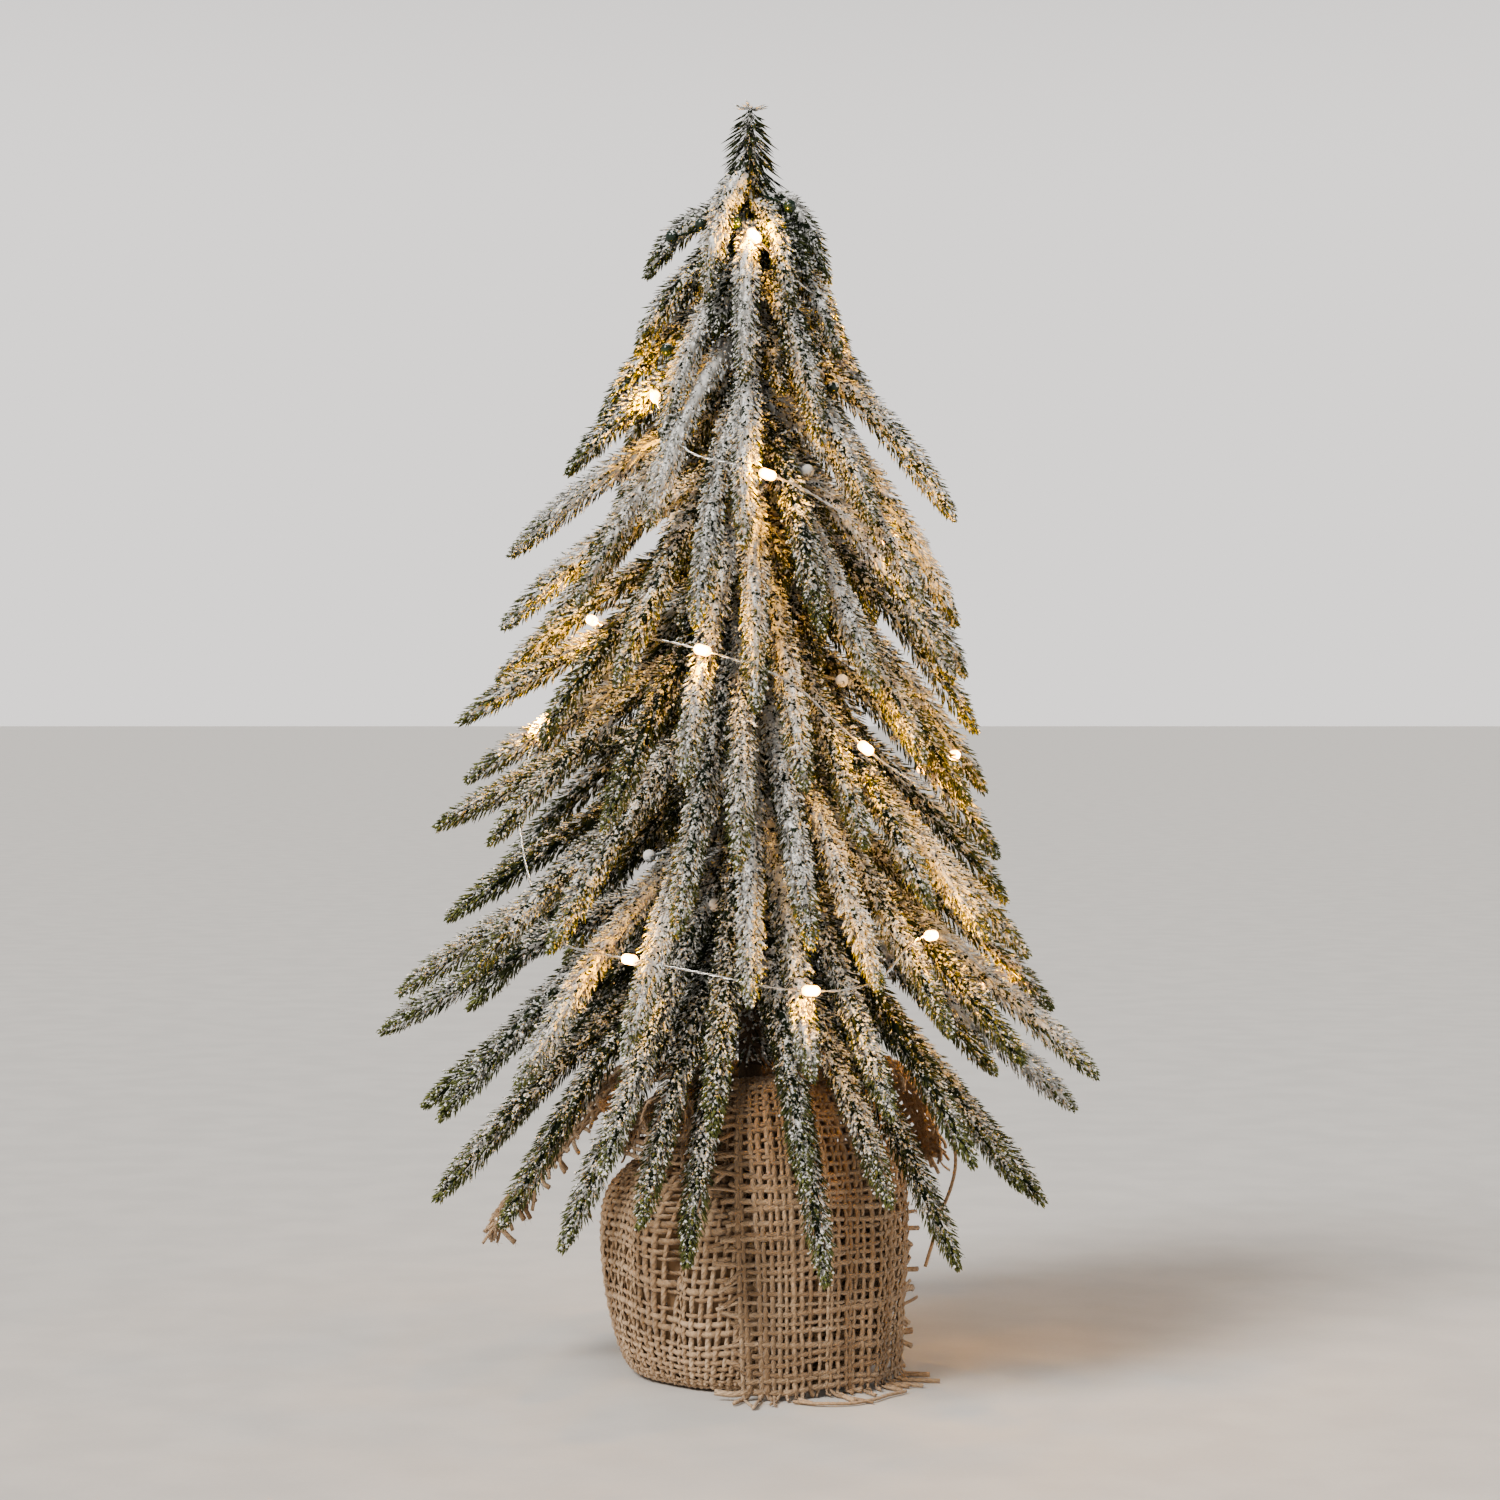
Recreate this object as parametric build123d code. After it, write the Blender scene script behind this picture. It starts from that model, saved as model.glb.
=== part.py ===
from build123d import *
import math
import os

# Artificial tabletop tree: flocked moulded sprigs on a taped steel rod, a weighted foot wrapped
# in hessian, and a battery-powered string of warm lights.
# Millimetres. Origin: centre of the foot on the floor. +Z is up, -Y is the front, +X is right.

os.makedirs("parts", exist_ok=True)

# ---------------------------------------------------------------- driving dimensions
TREE_HEIGHT = 450.0
ROD_RADIUS = 2.0
ROD_FOOT_Z = 8.0
ROD_TOP_Z = 404.0
TAPE_RADIUS_LOW = 4.2
TAPE_RADIUS_TOP = 2.9
TAPE_FOOT_Z = 64.0
SPRIG_CORE_RADIUS = 2.5
SPRIG_TIP_RADIUS = 1.5
SPRIG_TAIL_RADIUS = 0.9
SPRIG_ROOT_R = 3.2
SPRIG_TIP_BACK = 4.0        # needles run on this far past the moulded core
HINGE_R = 9.6
HINGE_BALL = 1.1
CUP_FOOT_R = 38.0
CUP_RIM_R = 47.0
CUP_HEIGHT = 62.0
CUP_WALL = 1.4
CLOTH = 1.6
WIRE_RADIUS = 0.5
LED_HALF = 11.0
BALL_R = 2.3
CASE_L, CASE_W, CASE_H = 74.0, 36.0, 20.0
CASE_X, CASE_Y = 4.0, 86.0
CASE_WALL = 1.6
CELL_R, CELL_L = 7.1, 49.2

# ---------------------------------------------------------------- sprig layout
# One entry per tier: the height its wires leave the trunk, then the tip of every sprig.
TIERS = [
    (418, [(-36, -8, 388), (27, -8, 386), (-15, -29, 378), (14, -28, 376), (24, 22, 379), (-18, 28, 381)]),
    (401, [(-39, -14, 361), (31, -18, 359), (-2, -40, 349), (36, 16, 354), (4, 42, 350), (-34, 26, 354)]),
    (384, [(-52, -10, 336), (-30, -36, 330), (24, -40, 327), (45, 4, 337), (34, 38, 326), (-6, 52, 325),
           (-44, 26, 330)]),
    (366, [(-63, -18, 318), (-34, -52, 298), (-2, -62, 291), (42, -46, 300), (71, -12, 303), (50, 44, 296),
           (-2, 68, 296), (-50, 46, 302)]),
    (346, [(-84, -4, 290), (-58, -50, 272), (-18, -74, 264), (24, -72, 262), (58, -48, 272), (73, 8, 266),
           (46, 62, 268), (-8, 82, 266), (-60, 54, 274)]),
    (325, [(-85, -26, 264), (-44, -70, 244), (2, -82, 236), (42, -70, 242), (70, -26, 246), (78, 32, 248),
           (22, 82, 244), (-40, 78, 246), (-80, 32, 252)]),
    (304, [(-89, 2, 246), (-70, -56, 226), (-22, -84, 212), (18, -88, 210), (58, -64, 218), (79, -6, 228),
           (60, 62, 222), (-4, 92, 222), (-64, 66, 228)]),
    (284, [(-101, -16, 231), (-48, -80, 196), (-4, -92, 184), (38, -84, 190), (74, -44, 204), (84, 18, 206),
           (34, 86, 200), (-34, 90, 200), (-84, 44, 210)]),
    (263, [(-101, 12, 210), (-88, -50, 190), (-24, -96, 162), (20, -96, 158), (60, -78, 170), (86, -18, 184),
           (70, 66, 178), (4, 100, 172), (-66, 78, 178)]),
    (243, [(-109, -18, 194), (-66, -84, 156), (0, -102, 140), (42, -94, 144), (80, -56, 158), (92, 22, 166),
           (38, 96, 150), (-32, 100, 152), (-94, 44, 170)]),
    (223, [(-108, 14, 160), (-98, -58, 142), (-40, -104, 124), (20, -106, 116), (66, -84, 128), (96, -26, 150),
           (80, 66, 138), (2, 112, 130), (-70, 88, 138)]),
    (203, [(-121, -30, 137), (-76, -92, 112), (-12, -108, 98), (46, -98, 102), (92, -60, 116), (108, 14, 128),
           (50, 104, 112), (-34, 110, 112), (-104, 56, 124)]),
    (184, [(-131, 6, 120), (-104, -64, 98), (-48, -96, 84), (18, -100, 80), (74, -78, 84), (120, -26, 108),
           (92, 72, 98), (8, 118, 92), (-74, 92, 96)]),
    (166, [(-114, -14, 96), (-84, -54, 60), (-36, -92, 66), (46, -86, 72), (92, -46, 72), (116, 12, 92),
           (60, 96, 66), (-22, 104, 62), (-96, 54, 72)]),
]
# The lowest sprigs that the hand bends on their wires, each a body of its own.
BENT = [
    (151, (-108, -34, 66)), (149, (-63, -66, 54)), (151, (-21, -86, 52)),
    (149, (25, -86, 46)), (151, (70, -60, 47)), (149, (102, -22, 63)),
]


def root_of(z, tip, radius):
    """The point at this radius on the trunk, on the side that the sprig leaves."""
    reach = math.hypot(tip[0], tip[1])
    return (tip[0] / reach * radius, tip[1] / reach * radius, z)


def control_of(root, tip):
    """The bend of the wire: out first, then over and down. Short sprigs stand out more squarely."""
    spread = min(1.0, max(0.0, (math.hypot(tip[0], tip[1]) - 35.0) / 60.0))
    out = 0.60 - 0.14 * spread
    drop = 0.04 + 0.20 * spread
    return (
        root[0] + out * (tip[0] - root[0]),
        root[1] + out * (tip[1] - root[1]),
        root[2] - drop * (root[2] - tip[2]),
    )


def mix(a, b, t):
    return tuple(p + (q - p) * t for p, q in zip(a, b))


def along(root, bend, tip, t):
    return mix(mix(root, bend, t), mix(bend, tip, t), t)


def piece(root, bend, tip, t0, t1):
    """The control points of the stretch of one bent wire between t0 and t1."""
    start = along(root, bend, tip, t0)
    end = along(root, bend, tip, t1)
    middle = mix(mix(root, bend, t0), mix(bend, tip, t0), t1)
    return start, middle, end


def length_of(root, bend, tip):
    points = [along(root, bend, tip, i / 20) for i in range(21)]
    return sum(math.dist(a, b) for a, b in zip(points, points[1:]))


def tube(control, radius, radius_end=None):
    """A round bar along a bent line. With two radii it tapers."""
    line = Bezier(*control)
    start = Plane(origin=line @ 0, z_dir=line % 0)
    if radius_end is None:
        return sweep(start * Circle(radius), path=line)
    end = Plane(origin=line @ 1, z_dir=line % 1)
    return sweep([start * Circle(radius), end * Circle(radius_end)], path=line, multisection=True)


def sprig(z, tip, root_radius=SPRIG_ROOT_R, ball=False, core_radius=SPRIG_CORE_RADIUS):
    """One sprig: a wire tail, then the moulded core that carries the needles, ending in a round tip."""
    root = root_of(z, tip, root_radius)
    bend = control_of(root, tip)
    whole = length_of(root, bend, tip)
    t_end = 1.0 - SPRIG_TIP_BACK / whole
    t_core = min(0.45, max(0.10, 15.0 / whole))
    t_taper = 0.72
    tail = tube(piece(root, bend, tip, 0.0, t_core + 0.02), SPRIG_TAIL_RADIUS)
    core = tube(piece(root, bend, tip, t_core, t_taper), core_radius)
    end = tube(piece(root, bend, tip, t_taper, t_end), core_radius, SPRIG_TIP_RADIUS)
    cap = Pos(*along(root, bend, tip, t_end)) * Sphere(SPRIG_TIP_RADIUS)
    whole_sprig = tail + core + end + cap
    if ball:
        whole_sprig = whole_sprig + Pos(*root) * Sphere(HINGE_BALL)
    return whole_sprig


def save(shape, name):
    export_step(shape, f"parts/{name}.step")


def tier_height(z, index):
    """Neighbouring wires of one tier leave the trunk 5 mm apart in height."""
    return z + (-5.0, 0.0, 5.0)[index % 3]


centre_lines = []
for number, (tier_z, tips) in enumerate(TIERS, start=1):
    sprigs = []
    for index, tip in enumerate(tips):
        z = tier_height(tier_z, index)
        sprigs.append(sprig(z, tip))
        root = root_of(z, tip, SPRIG_ROOT_R)
        bend = control_of(root, tip)
        centre_lines.append([along(root, bend, tip, i / 24) for i in range(25)])
    save(Compound(children=[s for group in sprigs for s in group.solids()]), f"sprig_tier_{number:02d}")

# ---------------------------------------------------------------- sprigs bent by hand
stubs = []
for number, (z, tip) in enumerate(BENT, start=1):
    root = root_of(z, tip, HINGE_R)
    bend = control_of(root, tip)
    save(sprig(z, tip, HINGE_R, ball=True), f"bent_sprig_{number}")
    centre_lines.append([along(root, bend, tip, i / 24) for i in range(25)])
    whole = math.dist(root, bend)
    back = tuple((a - b) / whole for a, b in zip(root, bend))
    reach = (HINGE_R - SPRIG_ROOT_R) / math.hypot(back[0], back[1])
    inner = tuple(a + b * reach for a, b in zip(root, back))
    outer = tuple(a + b * (HINGE_BALL + 0.4) for a, b in zip(root, back))
    stub_plane = Plane(origin=outer, z_dir=back)
    stub = extrude(stub_plane * Circle(SPRIG_TAIL_RADIUS), math.dist(inner, outer))
    stubs.append(stub)
    print(f"bent_sprig_{number} hinge {tuple(round(v, 3) for v in root)}")
save(Compound(children=[s for group in stubs for s in group.solids()]), "sprig_stubs")

# ---------------------------------------------------------------- short sprigs near the trunk
INNER_COUNT = 46
INNER_CORE_RADIUS = 2.0


def inner_layout(lines):
    """Short sprigs that fill the tree near its trunk, each turned to the nearest free gap."""
    placed, chosen = [], []
    for k in range(INNER_COUNT):
        z = 196.0 + 4.8 * k
        reach = 20.0 + (430.0 - z) * 0.115 + 1.25 * ((k * 7) % 5)
        fall = 0.75 * reach + 2.0 * ((k * 3) % 4)
        best = None
        for step in range(21):
            turn = 7 * ((step + 1) // 2) * (1 if step % 2 else -1)
            angle = math.radians(k * 137.5 + turn)
            tip = (reach * math.cos(angle), reach * math.sin(angle), z - fall)
            root = root_of(z, tip, SPRIG_ROOT_R)
            bend = control_of(root, tip)
            points = [along(root, bend, tip, i / 12) for i in range(4, 13)]
            gap = min(math.dist(p, q) for p in points for line in lines + placed for q in line[4::2])
            if best is None or gap > best[0]:
                best = (gap, z, tip, root, bend)
            if gap > 5.2:
                break
        gap, z, tip, root, bend = best
        placed.append([along(root, bend, tip, i / 24) for i in range(25)])
        chosen.append((z, tip))
    return chosen, placed


inner, inner_lines = inner_layout(centre_lines)
centre_lines += inner_lines
inner_solids = [sprig(z, tip, core_radius=INNER_CORE_RADIUS) for z, tip in inner]
save(Compound(children=[s for group in inner_solids for s in group.solids()]), "inner_sprigs")

# ---------------------------------------------------------------- trunk
rod = Pos(0, 0, ROD_FOOT_Z) * Cylinder(
    ROD_RADIUS, ROD_TOP_Z - ROD_FOOT_Z, align=(Align.CENTER, Align.CENTER, Align.MIN)
)
save(rod, "trunk_rod")
LEADER_FOOT_Z = 391.5
tape_outline = Polyline(
    (ROD_RADIUS, 0, TAPE_FOOT_Z),
    (TAPE_RADIUS_LOW, 0, TAPE_FOOT_Z),
    (3.8, 0, LEADER_FOOT_Z),
    (ROD_RADIUS, 0, LEADER_FOOT_Z),
    close=True,
)
save(revolve(make_face(tape_outline), Axis.Z), "trunk_tape")

leader_outline = Polyline(
    (ROD_RADIUS, 0, LEADER_FOOT_Z),
    (3.8, 0, LEADER_FOOT_Z),
    (3.6, 0, 424.0),
    (2.2, 0, 431.0),
    (1.1, 0, TREE_HEIGHT - 1.5),
    (0.5, 0, TREE_HEIGHT),
    (0, 0, TREE_HEIGHT),
    (0, 0, ROD_TOP_Z),
    (ROD_RADIUS, 0, ROD_TOP_Z),
    close=True,
)
leader = revolve(make_face(leader_outline), Axis.Z)
for index in range(7):
    angle = index * 360 / 7
    needle = Rot(0, 0, angle) * Pos(0, 0, TREE_HEIGHT - 5.0) * Rot(0, 104, 0) * Cone(
        0.6, 0.25, 6.5, align=(Align.CENTER, Align.CENTER, Align.MIN)
    )
    leader = leader + needle
save(leader, "leader_sprig")

# ---------------------------------------------------------------- weighted foot
CUP_FOOT_Z = CLOTH
cup_outer = Pos(0, 0, CUP_FOOT_Z) * Cone(
    CUP_FOOT_R, CUP_RIM_R, CUP_HEIGHT, align=(Align.CENTER, Align.CENTER, Align.MIN)
)
cup_hollow = Pos(0, 0, CUP_FOOT_Z + CUP_WALL) * Cone(
    CUP_FOOT_R - CUP_WALL + 0.2, CUP_RIM_R - CUP_WALL, CUP_HEIGHT - CUP_WALL,
    align=(Align.CENTER, Align.CENTER, Align.MIN),
)
save(cup_outer - cup_hollow, "casting_cup")
FILL_Z = 57.0
below_fill = Pos(0, 0, FILL_Z) * Box(200, 200, 200, align=(Align.CENTER, Align.CENTER, Align.MAX))
cement = (cup_hollow & below_fill) - rod
save(cement, "cement_weight")

# ---------------------------------------------------------------- hessian
# Outline of the pouch, as radius and height, from the middle of its floor to the tied neck.
POUCH = [(36.0, 0.0), (43.0, 2.2), (47.0, 9.0), (50.5, 22.0), (52.8, 38.0), (53.2, 52.0), (51.6, 62.5),
         (46.5, 70.5), (37.5, 76.5), (26.0, 81.0), (16.0, 85.5), (11.2, 90.5)]
NECK_R = 10.4
NECK_TOP_Z = 97.0


def offset_outline(points, distance):
    """The same outline moved sideways, to the left of its own direction."""
    moved = []
    for index, point in enumerate(points):
        before = points[max(0, index - 1)]
        after = points[min(len(points) - 1, index + 1)]
        run = math.dist(before, after)
        side = (-(after[1] - before[1]) / run, (after[0] - before[0]) / run)
        moved.append((point[0] + side[0] * distance, point[1] + side[1] * distance))
    return moved


pouch_inner = [(34.5, CLOTH)] + offset_outline(POUCH, CLOTH)[1:]
outer_line = Spline(*[(r, 0, z) for r, z in POUCH])
inner_line = Spline(*[(r, 0, z) for r, z in pouch_inner])
neck_outer = Polyline((*POUCH[-1][:1], 0, POUCH[-1][1]), (NECK_R, 0, 92.5), (NECK_R, 0, NECK_TOP_Z))
neck_inner = Polyline(
    (pouch_inner[-1][0], 0, pouch_inner[-1][1]), (NECK_R - CLOTH, 0, 92.5), (NECK_R - CLOTH, 0, NECK_TOP_Z)
)
floor_outer = Line((0, 0, 0), (POUCH[0][0], 0, 0))
floor_inner = Line((0, 0, CLOTH), (pouch_inner[0][0], 0, CLOTH))
axis_side = Line((0, 0, 0), (0, 0, CLOTH))
neck_lip = Line((NECK_R, 0, NECK_TOP_Z), (NECK_R - CLOTH, 0, NECK_TOP_Z))
pouch_edges = [floor_outer, outer_line, neck_outer, neck_lip, neck_inner, inner_line, floor_inner, axis_side]
pouch_face = make_face(Wire([edge for line in pouch_edges for edge in line.edges()]))
save(revolve(pouch_face, Axis.Z), "hessian_pouch")

# Gathered cloth standing out round the neck, above the tie.
COLLAR = [(NECK_R + 0.2, 97.2), (12.8, 99.6), (19.0, 101.2), (29.0, 100.4), (37.0, 95.5), (42.0, 87.5)]
collar_inner = offset_outline(COLLAR, -CLOTH)
collar_top = Spline(*[(r, 0, z) for r, z in COLLAR])
collar_under = Spline(*[(r, 0, z) for r, z in collar_inner])
collar_root = Line((COLLAR[0][0], 0, COLLAR[0][1]), (collar_inner[0][0], 0, collar_inner[0][1]))
collar_edge = Line((COLLAR[-1][0], 0, COLLAR[-1][1]), (collar_inner[-1][0], 0, collar_inner[-1][1]))
collar_edges = [collar_top, collar_edge, collar_under, collar_root]
collar_face = make_face(Wire([edge for line in collar_edges for edge in line.edges()]))
save(revolve(collar_face, Axis.Z), "hessian_collar")

# Free panels: middle line as radius and height, half width as an angle, droop of the side edges.
PANELS = {
    "hessian_front_flap": (-53.0, [
        (13.5, 103.0, 43, 0.0), (27.0, 106.5, 43, 0.0), (41.0, 103.0, 43, 0.0), (51.5, 89.0, 43, 0.0),
        (56.5, 70.0, 42, 0.0), (57.8, 48.0, 41, 0.0), (56.5, 24.0, 40, 0.0), (55.5, 3.0, 39, 0.0)]),
    "hessian_corner_left": (180.0, [
        (13.5, 103.2, 46, 0.0), (28.0, 107.0, 38, 1.0), (44.0, 107.0, 30, 3.0), (58.0, 99.0, 23, 6.0),
        (70.0, 85.0, 17, 8.0), (81.0, 69.0, 11, 7.0), (90.0, 55.0, 6, 3.0)]),
    "hessian_corner_right": (24.0, [
        (13.5, 103.2, 30, 0.0), (28.0, 108.0, 24, 1.0), (43.0, 111.0, 19, 2.0), (56.0, 107.0, 16, 4.0),
        (65.0, 96.0, 12, 5.0), (70.0, 83.0, 8, 4.0), (72.0, 74.0, 5, 2.0)]),
    "hessian_corner_back": (92.0, [
        (13.5, 103.2, 30, 0.0), (28.0, 106.5, 30, 1.0), (43.0, 104.0, 28, 3.0), (54.0, 92.0, 24, 5.0),
        (60.0, 76.0, 18, 5.0), (63.0, 61.0, 11, 4.0), (64.0, 50.0, 6, 2.0)]),
}


def panel_point(azimuth, row, across):
    radius, z, half, sag = row
    angle = math.radians(azimuth + across * half)
    return (radius * math.cos(angle), radius * math.sin(angle), z - sag * across * across)


for name, (azimuth, rows) in PANELS.items():
    grid = [[Vector(*panel_point(azimuth, row, -1 + 2 * i / 8)) for i in range(9)] for row in rows]
    skin = Face.make_surface_from_array_of_points(grid)
    panel = thicken(skin, CLOTH / 2, both=True)
    save(panel, name)

# A rolled edge of the cloth, seen end on from the front.
CURL_CENTRE = (-27.5, -38.5, 95.5)
curl_points = []
for index in range(19):
    turn = math.radians(-60 + index * 25)
    radius = 9.0 - 0.30 * index
    curl_points.append((radius * math.cos(turn), radius * math.sin(turn)))
curl_line = Spline(*curl_points)
curl_strip = trace(curl_line, line_width=CLOTH)
curl_plane = Plane(origin=CURL_CENTRE, x_dir=(1, 0, 0), z_dir=(-0.10, -1, 0.06))
save(extrude(curl_plane * curl_strip, 25.0), "hessian_curl")

# Two turns of jute twine with a knot and two short ends.
TIE_R = NECK_R + 1.15
tie = Pos(0, 0, 93.1) * Torus(TIE_R, 0.95) + Pos(0, 0, 94.7) * Torus(TIE_R, 0.95)
knot_at = (TIE_R * math.cos(math.radians(205)), TIE_R * math.sin(math.radians(205)))
tie = tie + Pos(knot_at[0] * 1.14, knot_at[1] * 1.14, 93.6) * Sphere(2.0)
for swing, fall in ((-8, 15), (10, 12)):
    tail_line = Spline(
        (knot_at[0] * 1.1, knot_at[1] * 1.14, 93.6),
        (knot_at[0] * 1.1 - 5, knot_at[1] * 1.1 + swing * 0.35, 93.2),
        (knot_at[0] * 1.1 - 10, knot_at[1] * 1.1 + swing, 93.6 - fall * 0.2),
    )
    tail_plane = Plane(origin=tail_line @ 0, z_dir=tail_line % 0)
    tie = tie + sweep(tail_plane * Circle(0.8), path=tail_line)
save(tie, "neck_tie")

# Single yarns that have come out of the cut edges.
THREADS = [
    [(62, -8, 103), (68, -9, 92), (73, -10, 79), (71, -11, 66), (66, -12, 53), (62, -14, 39)],
    [(14, -60, 0.8), (24, -64.5, 0.8), (36, -61, 0.8), (46, -52, 0.8), (53, -42, 0.8)],
    [(-50, -30, 79), (-55, -33, 73), (-57, -36, 66), (-55, -39, 60)],
]
threads = []
for points in THREADS:
    line = Spline(*points)
    plane = Plane(origin=line @ 0, z_dir=line % 0)
    threads.append(sweep(plane * Circle(0.6), path=line))
save(Compound(children=[s for t in threads for s in t.solids()]), "loose_threads")

# ---------------------------------------------------------------- string of lights
# The wire's own way round the tree, from the battery case up the back, then down in turns.
# "light" is the middle of a straight run that carries a bead; "bend" is a corner between two runs.
ROUTE = [
    ("bend", -30.4, 86.0, 9.0), ("bend", -46.0, 86.0, 9.0), ("bend", -50.0, 82.0, 36.0),
    ("bend", -41.0, 77.0, 74.0), ("bend", -30.0, 80.0, 106.0),
    ("light", -2.0, 82.0, 126.0), ("bend", 30.0, 76.0, 132.0), ("bend", 60.0, 54.0, 135.0),
    ("light", 84.0, 14.0, 136.0), ("bend", 82.0, -30.0, 144.0),
    ("light", 61.0, -64.0, 159.0), ("bend", 44.0, -86.0, 146.0),
    ("light", 20.0, -94.0, 143.0), ("bend", -12.0, -92.0, 148.0),
    ("light", -40.0, -78.0, 152.0), ("bend", -64.0, -58.0, 155.0), ("bend", -77.0, -28.0, 174.0),
    ("bend", -82.0, -14.0, 202.0),
    ("light", -73.0, 4.0, 231.0), ("bend", -66.0, 34.0, 228.0),
    ("light", -40.0, 62.0, 222.0), ("bend", 0.0, 76.0, 216.0), ("bend", 34.0, 70.0, 214.0),
    ("light", 64.0, 42.0, 213.0), ("bend", 83.0, 10.0, 214.0),
    ("light", 71.0, -26.0, 219.0), ("bend", 60.0, -52.0, 208.0),
    ("light", 39.0, -62.0, 222.0), ("bend", 14.0, -68.0, 245.0),
    ("light", -16.0, -66.0, 255.0), ("bend", -40.0, -50.0, 260.0),
    ("light", -55.0, -24.0, 266.0), ("bend", -60.0, 8.0, 270.0), ("bend", -42.0, 38.0, 274.0),
    ("light", -12.0, 56.0, 278.0), ("bend", 22.0, 54.0, 282.0),
    ("light", 52.0, 32.0, 286.0), ("bend", 61.0, 0.0, 288.0),
    ("light", 48.0, -32.0, 293.0), ("bend", 28.0, -49.0, 304.0),
    ("light", 6.0, -50.0, 315.0), ("bend", -22.0, -46.0, 322.0),
    ("light", -33.0, -20.0, 344.0), ("bend", -30.0, 8.0, 350.0),
    ("light", -10.0, 31.0, 357.0), ("bend", 18.0, 24.0, 364.0),
    ("light", 28.0, 0.0, 374.0), ("bend", 17.0, -21.0, 383.0),
    ("light", 1.5, -21.0, 400.0),
]


def wire_corners(route):
    """The corners of the wire. A light stands in the middle of its own straight run."""
    corners, lights = [], []
    for index, (kind, x, y, z) in enumerate(route):
        here = (x, y, z)
        if kind == "bend":
            corners.append(here)
            continue
        last = index + 1 == len(route)
        before = route[index - 1][1:]
        after = here if last else route[index + 1][1:]
        run = math.dist(before, after)
        way = tuple((b - a) / run for a, b in zip(before, after))
        if last:
            corners.append(tuple(p + w * 6.0 for p, w in zip(here, way)))
        else:
            corners.append(tuple(p - w * LED_HALF for p, w in zip(here, way)))
            corners.append(tuple(p + w * LED_HALF for p, w in zip(here, way)))
        lights.append((here, way))
    return corners, lights


def corner_radii(corners):
    """The bend at each corner takes up 45 % of the shorter run beside it."""
    radii = []
    for a, b, c in zip(corners, corners[1:], corners[2:]):
        shorter = min(math.dist(a, b), math.dist(b, c))
        u = [(q - p) / math.dist(a, b) for p, q in zip(a, b)]
        v = [(q - p) / math.dist(b, c) for p, q in zip(b, c)]
        turn = math.acos(max(-1.0, min(1.0, sum(p * q for p, q in zip(u, v)))))
        radii.append(0.45 * shorter / math.tan(turn / 2))
    return radii


corners, lights = wire_corners(ROUTE)
radii = corner_radii(corners)
print("wire corner radii", [round(r, 1) for r in radii])
wire_line = FilletPolyline(*corners, radius=radii)
print("wire length", round(wire_line.length, 1))
wire_plane = Plane(origin=wire_line @ 0, z_dir=wire_line % 0)
save(sweep(wire_plane * Circle(WIRE_RADIUS), path=wire_line), "light_wire")

beads, chips = [], []
for here, way in lights:
    plane = Plane(origin=here, z_dir=way)
    bead = plane * (
        Cylinder(1.8, 2.6) + Pos(0, 0, 1.3) * Sphere(1.8) + Pos(0, 0, -1.3) * Sphere(1.8)
    )
    bore = plane * Cylinder(WIRE_RADIUS + 0.03, 12)
    pocket = plane * Pos(WIRE_RADIUS + 0.43, 0, 0) * Box(0.7, 1.0, 1.2)
    beads.append(bead - bore - pocket)
    chips.append(plane * Pos(WIRE_RADIUS + 0.43, 0, 0) * Box(0.7, 1.0, 1.2))
save(Compound(children=[s for b in beads for s in b.solids()]), "led_beads")
save(Compound(children=[s for c in chips for s in c.solids()]), "led_chips")

# ---------------------------------------------------------------- battery case
FIT = 0.08
case_x0 = CASE_X - CASE_L / 2
case_x1 = CASE_X + CASE_L / 2
bay_x0 = case_x0 + CASE_WALL + 12.0 + 1.2
bay_x1 = case_x1 - CASE_WALL
RAIL_Z0, RAIL_Z1 = 17.4, 19.0
INNER_W = CASE_W - 2 * CASE_WALL


def block(x0, x1, y0, y1, z0, z1):
    return Pos((x0 + x1) / 2, (y0 + y1) / 2, (z0 + z1) / 2) * Box(x1 - x0, y1 - y0, z1 - z0)


case_y0 = CASE_Y - CASE_W / 2
case_y1 = CASE_Y + CASE_W / 2
in_y0 = case_y0 + CASE_WALL
in_y1 = case_y1 - CASE_WALL
case = block(case_x0, case_x1, case_y0, case_y1, 0, CASE_H)
case = fillet(case.edges().filter_by(Axis.Z), 2.0)
case = case - block(bay_x0, bay_x1, in_y0, in_y1, CASE_WALL, CASE_H)
case = case - block(case_x0 + CASE_WALL, bay_x0 - 1.2, in_y0, in_y1, CASE_WALL, RAIL_Z0)
case = case - block(bay_x0, case_x1, in_y0 - 0.9, in_y1 + 0.9, RAIL_Z0 - FIT, RAIL_Z1 + FIT)
case = case - block(bay_x1, case_x1, in_y0, in_y1, RAIL_Z1, CASE_H)
slot_x = case_x0 + 7.6
case = case - block(slot_x - 2.4, slot_x + 2.4, CASE_Y - 4.9, CASE_Y + 4.9, RAIL_Z0 - 1, CASE_H)
gland_z = 9.0
case = case - Pos(case_x0, 86.0, gland_z) * Rot(0, 90, 0) * Cylinder(2.2, 8)
ledge_y = 5.0
for side in (in_y0, in_y1 - ledge_y):
    case = case + block(case_x0 + CASE_WALL, bay_x0 - 1.2, side, side + ledge_y, CASE_WALL, 4.4)
case = case + block(bay_x0, bay_x1, CASE_Y - 0.35, CASE_Y + 0.35, CASE_WALL, 7.0)
save(case, "battery_case")

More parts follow.
